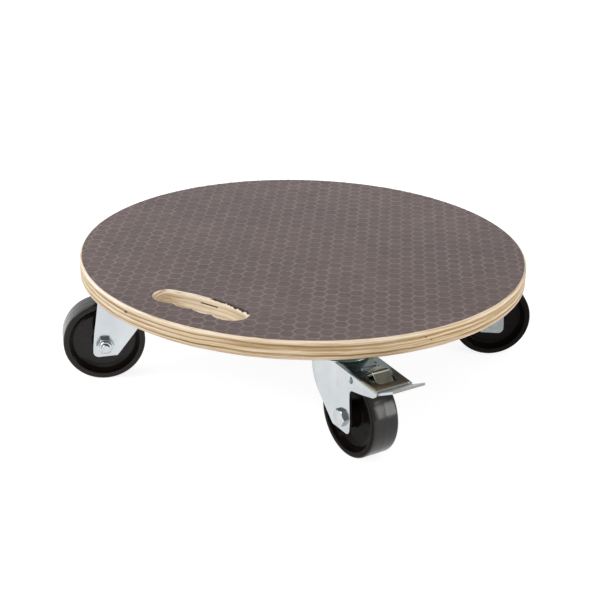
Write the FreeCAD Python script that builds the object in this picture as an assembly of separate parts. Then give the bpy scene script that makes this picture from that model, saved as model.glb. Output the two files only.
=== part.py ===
import FreeCAD, Part
import os
import math

V = FreeCAD.Vector
os.makedirs("parts", exist_ok=True)

# ---------------------------------------------------------------------------
# Round plywood furniture dolly on four swivel casters, two of them braked.
# Millimetres, +Z up, origin on the floor under the centre of the deck.
# The hand hole is at the front (-Y). Casters stand at 45, 135, 225 and 315 deg.
# ---------------------------------------------------------------------------

# deck
DECK_R = 210.0            # deck radius
DECK_TOP = 116.0          # height of the load surface
DECK_T = 18.0             # deck thickness over both films
FILM_T = 0.4              # thickness of each phenolic film
DECK_BOT = DECK_TOP - DECK_T
RIM_ROUND = 1.6           # radius worked on the rim's two edges
HOLE_ROUND = 2.4          # radius worked on the hand hole's edges

# caster positions
KINGPIN_R = 161.0         # circle of the four kingpins
OFFSET = 29.5             # trail from kingpin to axle

# wheel
WHEEL_R = 38.25
WHEEL_W = 26.0
AXLE_Z = WHEEL_R
HUB_R = 11.0
HUB_HALF = 15.0
TUBE_R = 6.0              # outside radius of the axle tube the wheel runs on
RUN_CLEAR = 0.06          # radial running clearance of the wheel

# fork
SHEET = 2.2               # fork sheet thickness
LEG_OUT = 19.5            # half width over the fork legs
LEG_IN = LEG_OUT - SHEET
BEND = 3.0                # outside bend radius between the roof and the walls
ROOF = 86.0               # height of the fork roof
HEAD_TOP = DECK_BOT - 10.0  # top of the swivel head
HEAD_R = 25.0
AXLE_R = 4.0
AXLE_HOLE_R = 4.08
HEX_AF = 14.0             # across flats of the axle bolt head and nut
BOLT_HEAD = 3.6           # height of the low axle bolt head

# swivel bearing
PLATE_T = 2.5
PLATE_L = 77.0            # along the tangent
PLATE_B = 67.0            # along the radius
HOLE_DX = 61.5
HOLE_DY = 51.5
PLATE_HOLE_R = 4.25
PIN_R = 5.0
PIN_CLEAR = 0.05
UB_R, UB_RING, UB_Z, UB_N = 2.5, 18.5, HEAD_TOP + 2.25, 21
LB_R, LB_RING, LB_Z, LB_N = 2.0, 12.0, HEAD_TOP - 3.95, 17
GROOVE = 0.3              # gap between a ball and its race

# brake
BP_U, BP_V, BP_R = 40.5, 77.6, 2.0    # brake pin
PEDAL_W = 16.9
PEDAL_T = 2.0

# name, azimuth, trailing azimuth, braked, side of the axle nut
CASTERS = [
    ("fl", 225.0, 223.76, False, 1),
    ("fr", 315.0, -23.49, True, 1),
    ("rr", 45.0, 35.89, False, 1),
    ("rl", 135.0, 156.56, True, 1),
]


# ------------------------------------------------------------------ helpers
def round_wire(pts, radii):
    """Closed wire in a plane through pts, each corner rounded by its radius."""
    n = len(pts)
    P = [V(*p) for p in pts]
    ins, outs, mids = [], [], []
    for i in range(n):
        a, b, c = P[i - 1], P[i], P[(i + 1) % n]
        r = radii[i]
        d1 = (a - b)
        d2 = (c - b)
        d1.normalize()
        d2.normalize()
        ang = d1.getAngle(d2)
        if r <= 0 or abs(ang - math.pi) < 1e-4:
            ins.append(b)
            outs.append(b)
            mids.append(None)
            continue
        t = r / math.tan(ang / 2)
        bis = d1 + d2
        bis.normalize()
        cen = b + bis * (r / math.sin(ang / 2))
        ins.append(b + d1 * t)
        outs.append(b + d2 * t)
        mids.append(cen - bis * r)
    edges = []
    for i in range(n):
        if mids[i] is not None:
            edges.append(Part.Arc(ins[i], mids[i], outs[i]).toShape())
        j = (i + 1) % n
        if (ins[j] - outs[i]).Length > 1e-6:
            edges.append(Part.LineSegment(outs[i], ins[j]).toShape())
    return Part.Wire(edges)


def face(pts, radii=None):
    if radii is None:
        radii = [0] * len(pts)
    return Part.Face(round_wire(pts, radii))


def plan(pts, radii, z0, z1):
    """Prism on a plan outline (u, s) between two heights."""
    f = face([(p[0], p[1], z0) for p in pts], radii)
    return f.extrude(V(0, 0, z1 - z0))


def side(pts, radii, s0, s1):
    """Prism on a side outline (u, v) between two lateral positions."""
    f = face([(p[0], s0, p[1]) for p in pts], radii)
    return f.extrude(V(0, s1 - s0, 0))


def turned(prof, ax="z"):
    """Solid of revolution of (r, h) points about Z, or about Y for 'y'."""
    w = Part.makePolygon([V(r, 0, h) for r, h in prof + [prof[0]]])
    s = Part.Face(w).revolve(V(0, 0, 0), V(0, 0, 1), 360)
    if s.Volume < 0:
        s.reverse()
    if ax == "y":
        s.rotate(V(0, 0, 0), V(1, 0, 0), -90)      # +Z becomes +Y
    return s


def turned_wire(edges, ax="z"):
    s = Part.Face(Part.Wire(edges)).revolve(V(0, 0, 0), V(0, 0, 1), 360)
    if s.Volume < 0:
        s.reverse()
    if ax == "y":
        s.rotate(V(0, 0, 0), V(1, 0, 0), -90)
    return s


def clean(s):
    try:
        s = s.removeSplitter()
    except Exception:
        pass
    return s


def one(s):
    s = clean(s)
    sol = s.Solids
    assert len(sol) == 1, "expected one solid, got %d" % len(sol)
    return sol[0]


def try_fillet(s, r, pick):
    edges = [e for e in s.Edges if pick(e)]
    if not edges:
        print("  no edges to round at", r)
        return s
    try:
        f = s.makeFillet(r, edges)
        if f.isValid() and len(f.Solids) == 1 and f.Volume > 0.5 * s.Volume:
            return f.Solids[0]
    except Exception as e:
        print("  fillet failed", r, e)
    return s


def save(name, solids):
    if not isinstance(solids, (list, tuple)):
        solids = [solids]
    flat = []
    for s in solids:
        flat += s.Solids
    for s in flat:
        assert s.isValid(), name + " is not valid"
        assert s.Volume > 0, name + " has no volume"
    shp = flat[0] if len(flat) == 1 else Part.makeCompound(flat)
    shp.exportStep("parts/%s.step" % name)
    print("%-22s %2d solid(s) %9.1f mm3" % (name, len(flat), sum(s.Volume for s in flat)))


# ------------------------------------------------------------ deck
def hole_wire(z, grow=0.0):
    """Hand hole: four finger scallops on the rim side, one long shallow arc inside."""
    k = [
        ((-45.1, -163.9), (-42.7, -172.3), (-36.7, -176.5)),
        ((-36.7, -176.5), (-28.3, -177.6), (-19.9, -174.1)),
        ((-19.9, -174.1), (-9.5, -177.0), (0.9, -174.1)),
        ((0.9, -174.1), (11.3, -177.0), (21.7, -174.1)),
        ((21.7, -174.1), (30.1, -177.6), (38.5, -176.3)),
        ((38.5, -176.3), (44.8, -171.9), (46.9, -164.4)),
        ((46.9, -164.4), (45.6, -159.1), (40.0, -155.7)),
        ((40.0, -155.7), (0.4, -150.7), (-38.2, -154.7)),
        ((-38.2, -154.7), (-43.5, -158.3), (-45.1, -163.9)),
    ]
    w = Part.Wire([Part.Arc(V(a[0], a[1], z), V(m[0], m[1], z), V(b[0], b[1], z)).toShape() for a, m, b in k])
    if grow:
        w = w.makeOffset2D(grow)
    return w


def deck_parts(screw_xy):
    zc0, zc1 = DECK_BOT + FILM_T, DECK_TOP - FILM_T
    q = RIM_ROUND * (1 - math.sqrt(0.5))
    R, r = DECK_R, RIM_ROUND
    e = [
        Part.LineSegment(V(0, 0, zc0), V(R - r, 0, zc0)).toShape(),
        Part.Arc(V(R - r, 0, zc0), V(R - q, 0, zc0 + q), V(R, 0, zc0 + r)).toShape(),
        Part.LineSegment(V(R, 0, zc0 + r), V(R, 0, zc1 - r)).toShape(),
        Part.Arc(V(R, 0, zc1 - r), V(R - q, 0, zc1 - q), V(R - r, 0, zc1)).toShape(),
        Part.LineSegment(V(R - r, 0, zc1), V(0, 0, zc1)).toShape(),
        Part.LineSegment(V(0, 0, zc1), V(0, 0, zc0)).toShape(),
    ]
    core = turned_wire(e)
    hw = hole_wire(zc0 - 1)
    core = core.cut(Part.Face(hw).extrude(V(0, 0, DECK_T + 2)))
    core = one(core)

    # worked-over edges of the hand hole, top and bottom
    for zs, sg in ((zc1, -1), (zc0, 1)):
        wa = hole_wire(zs, HOLE_ROUND)
        wb = hole_wire(zs + sg * HOLE_ROUND, 0.0)
        core = one(core.cut(Part.makeLoft([wa, wb], True, True)))
    # pilot holes of the wood screws, from below
    cyl = [Part.makeCylinder(3.02, 13.6, V(x, y, DECK_BOT), V(0, 0, 1)) for x, y in screw_xy]
    core = one(core.cut(Part.makeCompound(cyl)))
    save("deck_core", core)

    hg = hole_wire(DECK_BOT - 1, HOLE_ROUND)
    cut = Part.Face(hg).extrude(V(0, 0, DECK_T + 4))
    top = Part.makeCylinder(R - r, FILM_T, V(0, 0, DECK_TOP - FILM_T)).cut(cut)
    bot = Part.makeCylinder(R - r, FILM_T, V(0, 0, DECK_BOT)).cut(cut)
    bot = bot.cut(Part.makeCompound(cyl))
    save("deck_film_top", one(top))
    save("deck_film_bottom", one(bot))


# ------------------------------------------------------------ fork
def plan_outline(t):
    """Half-widths of the fork in plan: parallel legs, flared front, round nose."""
    fl = math.tan(math.radians(14.0))
    s20 = LEG_OUT - t
    uk = 20.0 - t * math.tan(math.radians(7.0))
    un = -25.0 + t
    # flare line shifted inwards by t
    sn = (LEG_OUT + (20.0 - un) * fl) - t / math.cos(math.radians(14.0))
    pts = [(130, s20), (uk, s20), (un, sn), (un, -sn), (uk, -s20), (130, -s20)]
    rad = [0, 8.0 + t, 22.0 - t, 22.0 - t, 8.0 + t, 0]
    return pts, rad


def make_fork(braked):
    po, ro = plan_outline(0.0)
    pi, ri = plan_outline(SHEET)
    lead_k = 0.66
    u_top = 18.3 - lead_k * (ROOF + 4 - 26.9)
    if braked:
        prof = [(18.3, 26.9), (41.6, 25.6), (41.9, 38.8), (40.0, 57.5), (39.6, 67.9),
                (57.1, 70.9), (73.3, 74.6), (75.6, 81.3), (16.3, ROOF), (-30.0, ROOF), (-30.0, ROOF - 1.2), (u_top + 2.6, ROOF - 1.2)]
        rad = [3.0, 5.0, 0, 0, 4.5, 0, 2.6, 0, 0, 0, 0, 0]
        under = [(-60, -5), (130, -5), (130, 81.3 - 4.27 - SHEET), (16.3, ROOF - SHEET), (-60, ROOF - SHEET)]
    else:
        prof = [(18.3, 26.9), (40.6, 25.6), (40.4, 35.4), (39.4, 48.5), (37.6, 61.4),
                (35.3, 80.1), (34.6, ROOF), (-30.0, ROOF), (-30.0, ROOF - 1.2), (u_top + 2.6, ROOF - 1.2)]
        rad = [3.0, 5.0, 0, 0, 0, 0, 0, 0, 0, 0]
        under = [(-60, -5), (130, -5), (130, ROOF - SHEET), (-60, ROOF - SHEET)]
    block = one(plan(po, ro, 0.0, 100.0).common(side(prof, rad, -60, 60)))
    inner = one(plan(pi, ri, -10.0, 100.0).common(side(under, [0] * len(under), -60, 60)))
    # bend between the roof and the walls, outside and inside
    drop = (ROOF - 81.3) / (75.6 - 16.3) if braked else 0.0

    def on_roof(e, low, last):
        pts = [v.Point for v in e.Vertexes] + [e.valueAt((e.FirstParameter + e.LastParameter) / 2)]
        if len(e.Vertexes) != 2:
            return False
        for q in pts:
            if abs(q.z - (ROOF - low - drop * max(0.0, q.x - 16.3))) > 0.02 or q.x > last:
                return False
        return not (pts[0].x > 0 and abs(pts[0].x - pts[1].x) < 0.01)
    block = try_fillet(block, BEND, lambda e: on_roof(e, 0.0, 74.6 if braked else 34.0))
    inner = try_fillet(inner, BEND - SHEET, lambda e: on_roof(e, SHEET, 140.0))
    shell = block.cut(inner)
    # opening of the swivel head through the roof
    shell = shell.cut(Part.makeCylinder(17.25, 20, V(0, 0, 80)))
    if braked:
        # window in the roof for the detent spring
        shell = shell.cut(plan([(38, 9.5), (67, 9.5), (67, -9.5), (38, -9.5)], [3, 3, 3, 3], 70, 95))
        # roof ends at the arm tips
        shell = shell.cut(Part.makeBox(40, 2 * LEG_IN - 0.01, 40, V(73.8, -LEG_IN + 0.005, 60)))
    head = turned([
        (PIN_R + PIN_CLEAR, HEAD_TOP - 2.2), (17.25, HEAD_TOP - 2.2), (17.25, ROOF - SHEET), (26.3, ROOF - SHEET), (26.3, ROOF - 0.3),
        (25.3, HEAD_TOP - 0.6), (HEAD_R, HEAD_TOP + 0.2), (HEAD_R, HEAD_TOP + 3.9), (HEAD_R - 2.0, HEAD_TOP + 3.9), (HEAD_R - 2.0, HEAD_TOP),
        (PIN_R + PIN_CLEAR, HEAD_TOP)])
    f = shell.fuse(head)
    if braked:
        # small pressed dimple beside the head
        f = f.fuse(Part.makeSphere(2.2, V(34.6, 10.2, 82.9)))
    # ball races
    f = f.cut(Part.makeTorus(UB_RING, UB_R + GROOVE, V(0, 0, UB_Z), V(0, 0, 1)))
    f = f.cut(Part.makeTorus(LB_RING, LB_R + GROOVE, V(0, 0, LB_Z), V(0, 0, 1)))
    # axle holes
    f = f.cut(Part.makeCylinder(AXLE_HOLE_R, 80, V(OFFSET, -40, AXLE_Z), V(0, 1, 0)))
    if braked:
        f = f.cut(Part.makeCylinder(BP_R + 0.05, 80, V(BP_U, -40, BP_V), V(0, 1, 0)))
        # countersinks of the brake pin in the outer faces of the arms
        for sg in (-1, 1):
            f = f.cut(Part.makeCone(BP_R + 1.35, BP_R + 0.05, 1.1, V(BP_U, sg * (LEG_OUT + 0.02), BP_V), V(0, -sg, 0)))
    return one(f)


# ------------------------------------------------------------ wheel
def make_wheel():
    """Moulded wheel: rounded tread, raised lip, dished web, long hub."""
    h = WHEEL_W / 2
    bore = TUBE_R + RUN_CLEAR
    half = [(bore, HUB_HALF), (HUB_R - 0.8, HUB_HALF), (HUB_R, HUB_HALF - 0.8), (HUB_R + 0.5, 6.4), (13.0, 5.2),
            (25.1, 5.2), (27.8, 5.9), (30.0, 7.6), (31.9, 10.9), (32.5, h - 0.4), (33.0, h - 0.05), (33.8, h)]
    pts = [V(r, 0, s) for r, s in half]
    e = [Part.LineSegment(pts[i], pts[i + 1]).toShape() for i in range(len(pts) - 1)]
    rr = 2.6
    q = rr * (1 - math.sqrt(0.5))
    a = V(WHEEL_R - rr, 0, h)
    e.append(Part.LineSegment(pts[-1], a).toShape())
    e.append(Part.Arc(a, V(WHEEL_R - q, 0, h - q), V(WHEEL_R, 0, h - rr)).toShape())
    e.append(Part.LineSegment(V(WHEEL_R, 0, h - rr), V(WHEEL_R, 0, -h + rr)).toShape())
    b = V(WHEEL_R - rr, 0, -h)
    e.append(Part.Arc(V(WHEEL_R, 0, -h + rr), V(WHEEL_R - q, 0, -h + q), b).toShape())
    mp = [V(p.x, 0, -p.z) for p in reversed(pts)]
    e.append(Part.LineSegment(b, mp[0]).toShape())
    e += [Part.LineSegment(mp[i], mp[i + 1]).toShape() for i in range(len(mp) - 1)]
    e.append(Part.LineSegment(mp[-1], pts[0]).toShape())
    w = turned_wire(e, "y")
    w.translate(V(OFFSET, 0, AXLE_Z))
    return w


def hexagon(af, s0, s1, u, v, turn=0.0):
    r = af / math.sqrt(3)
    pts = [(u + r * math.cos(math.radians(60 * i + turn)), v + r * math.sin(math.radians(60 * i + turn))) for i in range(6)]
    return side(pts, [0] * 6, s0, s1)


def y_cyl(r, s0, s1, u, v):
    return Part.makeCylinder(r, s1 - s0, V(u, s0, v), V(0, 1, 0))


def make_axle(nut_side):
    """Hex bolt, lock nut and clamped axle tube. nut_side is +1 or -1."""
    n = nut_side
    o = LEG_OUT

    def cyl(r, a, b):
        a, b = sorted((a * n, b * n))
        return y_cyl(r, a, b, OFFSET, AXLE_Z)
    # bolt: head on the far side from the nut
    a, b = sorted((-n * (o + BOLT_HEAD), -n * o))
    head = hexagon(HEX_AF, a, b, OFFSET, AXLE_Z, 3.0)
    cap = turned([(0, 0), (6.8, 0), (8.3, 1.1), (8.3, BOLT_HEAD + 0.1), (0, BOLT_HEAD + 0.1)], "y")
    if -n > 0:
        cap.rotate(V(0, 0, 0), V(1, 0, 0), 180)
        cap.translate(V(OFFSET, o + BOLT_HEAD, AXLE_Z))
    else:
        cap.translate(V(OFFSET, -(o + BOLT_HEAD), AXLE_Z))
    head = head.common(cap)
    shank = cyl(AXLE_R, -o, 29.2)
    tip = turned([(0, 0), (AXLE_R, 0), (AXLE_R - 0.8, 0.8), (0, 0.8)], "y")
    if n < 0:
        tip.rotate(V(0, 0, 0), V(1, 0, 0), 180)
    tip.translate(V(OFFSET, n * 29.2, AXLE_Z))
    bolt = one(head.fuse(shank).fuse(tip))
    # nut: hexagon with a rounded collar over the nylon ring
    a, b = sorted((n * o, n * (o + 5.6)))
    hx = hexagon(HEX_AF, a, b, OFFSET, AXLE_Z, 0.0)
    cone = turned([(0, 0), (8.15, 0), (8.15, 4.6), (6.8, 5.7), (0, 5.7)], "y")
    col = turned([(0, 5.0), (6.2, 5.0), (6.2, 7.0), (5.5, 7.9), (4.6, 8.1), (0, 8.1)], "y")
    if n < 0:
        cone.rotate(V(0, 0, 0), V(1, 0, 0), 180)
        col.rotate(V(0, 0, 0), V(1, 0, 0), 180)
    cone.translate(V(OFFSET, n * o, AXLE_Z))
    col.translate(V(OFFSET, n * o, AXLE_Z))
    nut = one(hx.common(cone).fuse(col).cut(cyl(AXLE_R + 0.02, o - 1, o + 9)))
    # tube on which the wheel runs
    tube = one(cyl(TUBE_R, -LEG_IN + 0.02, LEG_IN - 0.02).cut(cyl(AXLE_R + 0.1, -30, 30)))
    # washers between hub and legs
    wa = []
    for s in (-1, 1):
        a, b = sorted((s * (HUB_HALF + 0.3), s * (LEG_IN - 0.02)))
        wa.append(one(y_cyl(9.5, a, b, OFFSET, AXLE_Z).cut(y_cyl(TUBE_R + 0.02, -30, 30, OFFSET, AXLE_Z))))
    return bolt, nut, tube, wa


# ------------------------------------------------------------ swivel head
def make_plate():
    """Pressed top plate with a dished middle that forms the upper race."""
    # plate coordinates: x along the radius of the deck, y along the tangent
    z0, z1 = DECK_BOT - PLATE_T, DECK_BOT
    p = plan([(PLATE_B / 2, PLATE_L / 2), (-PLATE_B / 2, PLATE_L / 2), (-PLATE_B / 2, -PLATE_L / 2), (PLATE_B / 2, -PLATE_L / 2)],
             [6, 6, 6, 6], z0, z1)
    p = p.cut(Part.makeCylinder(28.0, 20, V(0, 0, 90)))
    dish = turned([(PIN_R, z1 - 5.5), (23.4, z1 - 5.5), (24.6, z1 - 5.0), (27.0, z1 - 2.9), (28.0, z0), (28.0, z1),
                   (26.6, z1 - 0.3), (23.2, z1 - 2.7), (22.4, z1 - 3.0), (PIN_R, z1 - 3.0)])
    p = p.fuse(dish)
    p = p.cut(Part.makeTorus(UB_RING, UB_R + GROOVE, V(0, 0, UB_Z), V(0, 0, 1)))
    for sx in (-1, 1):
        for sy in (-1, 1):
            p = p.cut(Part.makeCylinder(PLATE_HOLE_R, 20, V(sx * HOLE_DY / 2, sy * HOLE_DX / 2, 90)))
    return one(p)


def make_kingpin():
    """Riveted kingpin: round head in the plate's dish, shank, peened lower head."""
    b, t = HEAD_TOP - 8.0, DECK_BOT
    return turned([(0, b - 2.8), (4.2, b - 2.8), (6.6, b - 2.2), (7.8, b - 1.1), (8.0, b), (PIN_R, b), (PIN_R, t - 3.0),
                   (8.8, t - 3.0), (8.8, t - 1.8), (7.6, t - 0.7), (5.0, t - 0.3), (0, t - 0.3)])


def make_lower_race():
    b = HEAD_TOP - 8.0
    s = turned([(PIN_R, b), (13.2, b), (16.5, b + 0.9), (16.5, b + 2.6), (14.9, b + 2.6), (14.4, b + 2.3), (PIN_R, b + 2.3)])
    s = s.cut(Part.makeTorus(LB_RING, LB_R + GROOVE, V(0, 0, LB_Z), V(0, 0, 1)))
    return one(s)


def make_balls(n, ring, r, z):
    return [Part.makeSphere(r, V(ring * math.cos(2 * math.pi * i / n), ring * math.sin(2 * math.pi * i / n), z)) for i in range(n)]


def make_screw(x, y):
    """Pan-head wood screw driven up into the deck, with a cross recess."""
    zt = DECK_BOT - PLATE_T
    s = turned([(0, zt - 2.6), (2.6, zt - 2.5), (4.6, zt - 1.9), (5.8, zt - 0.7), (6.0, zt), (3.0, zt), (3.0, DECK_BOT + 10.6), (1.0, DECK_BOT + 13.3), (0, DECK_BOT + 13.4)])
    for a in (0, 90):
        b = Part.makeBox(5.2, 0.9, 1.7, V(-2.6, -0.45, zt - 3.0))
        b.rotate(V(0, 0, 0), V(0, 0, 1), a + 20 + 7 * x % 50)
        s = s.cut(b)
    s = one(s)
    s.translate(V(x, y, 0))
    return s


# ------------------------------------------------------------ brake
def strip(path, t, w, radii):
    """Bent strip: centre line path in (u, v), thickness t, half width w."""
    left, right = [], []
    n = len(path)
    for i, p in enumerate(path):
        d = []
        if i > 0:
            a = (p[0] - path[i - 1][0], p[1] - path[i - 1][1])
            l = math.hypot(*a)
            d.append((a[0] / l, a[1] / l))
        if i < n - 1:
            a = (path[i + 1][0] - p[0], path[i + 1][1] - p[1])
            l = math.hypot(*a)
            d.append((a[0] / l, a[1] / l))
        if len(d) == 1:
            nx, ny = -d[0][1], d[0][0]
            k = 1.0
        else:
            nx, ny = -(d[0][1] + d[1][1]), d[0][0] + d[1][0]
            l = math.hypot(nx, ny)
            nx, ny = nx / l, ny / l
            k = 1.0 / (nx * -d[0][1] + ny * d[0][0])
        left.append((p[0] + nx * t / 2 * k, p[1] + ny * t / 2 * k))
        right.append((p[0] - nx * t / 2 * k, p[1] - ny * t / 2 * k))
    pts = left + right[::-1]
    # signed turn at each inner point decides which side gets the larger radius
    rl, rr = [], []
    for i in range(n):
        if i in (0, n - 1) or radii[i] <= 0:
            rl.append(0)
            rr.append(0)
            continue
        ax, ay = path[i][0] - path[i - 1][0], path[i][1] - path[i - 1][1]
        bx, by = path[i + 1][0] - path[i][0], path[i + 1][1] - path[i][1]
        cr = ax * by - ay * bx
        if cr > 0:                      # turning left: the left side is the inside of the bend
            rl.append(radii[i])
            rr.append(radii[i] + t)
        else:
            rl.append(radii[i] + t)
            rr.append(radii[i])
    return side(pts, rl + rr[::-1], -w, w)


def make_pedal():
    """Brake lever: sprung web between two ears on the brake pin, treadle to the rear."""
    web = strip([(94.0, 87.9), (73.4, 77.4), (59.2, 73.4), (55.4, 70.85)], PEDAL_T, PEDAL_W, [0, 6.0, 2.0, 0])
    # round the treadle's free corners
    tread = plan([(40, PEDAL_W), (95.2, PEDAL_W), (95.2, -PEDAL_W), (40, -PEDAL_W)], [0, 3.0, 3.0, 0], 60, 100)
    web = web.common(tread)
    # the brake lug is narrower than the ears
    ears = side([(BP_U - 3.7, BP_V - 1.2), (BP_U - 3.2, BP_V + 2.6), (BP_U + 0.6, BP_V + 3.7), (72.0, 77.6), (73.0, 76.4), (57.0, 70.6), (BP_U + 1.0, BP_V - 3.7)],
                [2.6, 2.6, 2.6, 0.6, 0.6, 3.0, 2.6], -PEDAL_W, PEDAL_W)
    ears = ears.cut(Part.makeBox(100, 2 * (PEDAL_W - PEDAL_T), 60, V(20, -(PEDAL_W - PEDAL_T), 50)))
    lever = web.fuse(ears)
    lever = lever.cut(y_cyl(BP_R + 0.05, -30, 30, BP_U, BP_V))
    return one(lever)


def make_spring():
    """Detent spring: flat foot on the lever, riser through the roof window, rolled over into a short leaf."""
    t = 1.2
    hw = 8.4
    p0 = (71.4, 78.53)
    p1 = (65.4, 76.85)
    d = (-0.7071, 0.7071)
    L = 13.0
    p2 = (p1[0] + d[0] * L, p1[1] + d[1] * L)
    R = 3.6
    cx, cy = p2[0] - 0.7071 * R, p2[1] - 0.7071 * R
    foot = strip([p0, p1, p2], t, hw, [0, 1.2, 0])
    # roll over from 45 to 98 degrees about (cx, cy)
    a0, a1 = 45.0, 98.0

    def pt(r, a):
        return V(cx + r * math.cos(math.radians(a)), -hw, cy + r * math.sin(math.radians(a)))
    ro, ri = R + t / 2, R - t / 2
    am = (a0 + a1) / 2
    e = [Part.Arc(pt(ro, a0), pt(ro, am), pt(ro, a1)).toShape(),
         Part.LineSegment(pt(ro, a1), pt(ri, a1)).toShape(),
         Part.Arc(pt(ri, a1), pt(ri, am), pt(ri, a0)).toShape(),
         Part.LineSegment(pt(ri, a0), pt(ro, a0)).toShape()]
    roll = Part.Face(Part.Wire(e)).extrude(V(0, 2 * hw, 0))
    q = math.radians(a1)
    q0 = (cx + R * math.cos(q), cy + R * math.sin(q))
    q1 = (q0[0] - 8.0 * math.sin(q), q0[1] + 8.0 * math.cos(q))
    leaf = strip([q0, q1], t, hw, [0, 0])
    return one(foot.fuse(roll).fuse(leaf))


def make_brake_pin():
    """Brake pin across the fork arms, its ends sunk in the countersinks."""
    return y_cyl(BP_R, -LEG_OUT + 0.45, LEG_OUT - 0.45, BP_U, BP_V)


# ------------------------------------------------------------ build
def place(s, az, trail):
    """Caster coordinates (u rearward, s to the left, v up) to the dolly."""
    c = s.copy()
    c.rotate(V(0, 0, 0), V(0, 0, 1), trail)
    c.translate(V(KINGPIN_R * math.cos(math.radians(az)), KINGPIN_R * math.sin(math.radians(az)), 0))
    return c


def main():
    screws_local = [(sx * HOLE_DY / 2, sy * HOLE_DX / 2) for sx in (-1, 1) for sy in (-1, 1)]
    screw_xy = []
    for name, az, tr, br, n in CASTERS:
        a = math.radians(az)
        for x, y in screws_local:
            screw_xy.append((KINGPIN_R * math.cos(a) + x * math.cos(a) - y * math.sin(a),
                             KINGPIN_R * math.sin(a) + x * math.sin(a) + y * math.cos(a)))
    deck_parts(screw_xy)

    plate = make_plate()
    kingpin = make_kingpin()
    race = make_lower_race()
    upper = make_balls(UB_N, UB_RING, UB_R, UB_Z)
    lower = make_balls(LB_N, LB_RING, LB_R, LB_Z)
    screws = [make_screw(x, y) for x, y in screws_local]
    forks = {True: make_fork(True), False: make_fork(False)}
    wheel = make_wheel()
    pedal = make_pedal()
    spring = make_spring()
    pin = make_brake_pin()
    for name, az, tr, br, n in CASTERS:
        bolt, nut, tube, washers = make_axle(n)
        save("top_plate_" + name, place(plate, az, az))
        save("mounting_screws_" + name, [place(s, az, az) for s in screws])
        save("kingpin_" + name, place(kingpin, az, az))
        save("lower_race_" + name, place(race, az, az))
        save("upper_balls_" + name, [place(s, az, tr) for s in upper])
        save("lower_balls_" + name, [place(s, az, tr) for s in lower])
        save("fork_" + name, place(forks[br], az, tr))
        save("wheel_" + name, place(wheel, az, tr))
        save("axle_bolt_" + name, place(bolt, az, tr))
        save("axle_nut_" + name, place(nut, az, tr))
        save("axle_tube_" + name, place(tube, az, tr))
        save("axle_washers_" + name, [place(s, az, tr) for s in washers])
        if br:
            save("brake_pedal_" + name, place(pedal, az, tr))
            save("brake_spring_" + name, place(spring, az, tr))
            save("brake_pin_" + name, place(pin, az, tr))


main()
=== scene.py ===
import bpy
import bmesh
import math
import numpy as np
from mathutils import Matrix, Vector
from mathutils.geometry import delaunay_2d_cdt


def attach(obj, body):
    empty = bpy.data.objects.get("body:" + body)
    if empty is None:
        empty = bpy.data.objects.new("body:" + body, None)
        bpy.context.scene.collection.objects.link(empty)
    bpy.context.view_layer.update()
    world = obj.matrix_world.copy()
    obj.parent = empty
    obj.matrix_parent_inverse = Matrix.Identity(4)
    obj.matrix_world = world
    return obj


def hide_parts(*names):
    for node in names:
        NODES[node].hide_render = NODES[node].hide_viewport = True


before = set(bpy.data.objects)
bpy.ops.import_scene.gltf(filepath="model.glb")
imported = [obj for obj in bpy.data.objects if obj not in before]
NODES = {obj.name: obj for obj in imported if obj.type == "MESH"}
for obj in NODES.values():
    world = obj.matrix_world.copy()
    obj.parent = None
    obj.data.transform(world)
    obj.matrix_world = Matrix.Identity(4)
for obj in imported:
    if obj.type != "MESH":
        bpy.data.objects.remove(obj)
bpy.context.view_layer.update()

# ---------------------------------------------------------------------------
# Round plywood furniture dolly, in metres, origin on the floor under the deck.
# ---------------------------------------------------------------------------
MM = 0.001
DECK_R, DECK_TOP, DECK_BOT, FILM_T = 210.0, 116.0, 98.0, 0.4
RIM_ROUND, HOLE_ROUND = 1.6, 2.4
KINGPIN_R, OFFSET, WHEEL_R = 161.0, 29.5, 38.25
CASTERS = {
    "fl": (225.0, 223.76, False, 1),
    "fr": (315.0, -23.49, True, 1),
    "rr": (45.0, 35.89, False, 1),
    "rl": (135.0, 156.56, True, 1),
}


def srgb(r, g, b, a=1.0):
    out = []
    for v in (r, g, b):
        v = v / 255.0
        out.append(v / 12.92 if v <= 0.04045 else ((v + 0.055) / 1.055) ** 2.4)
    return tuple(out) + (a,)


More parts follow.
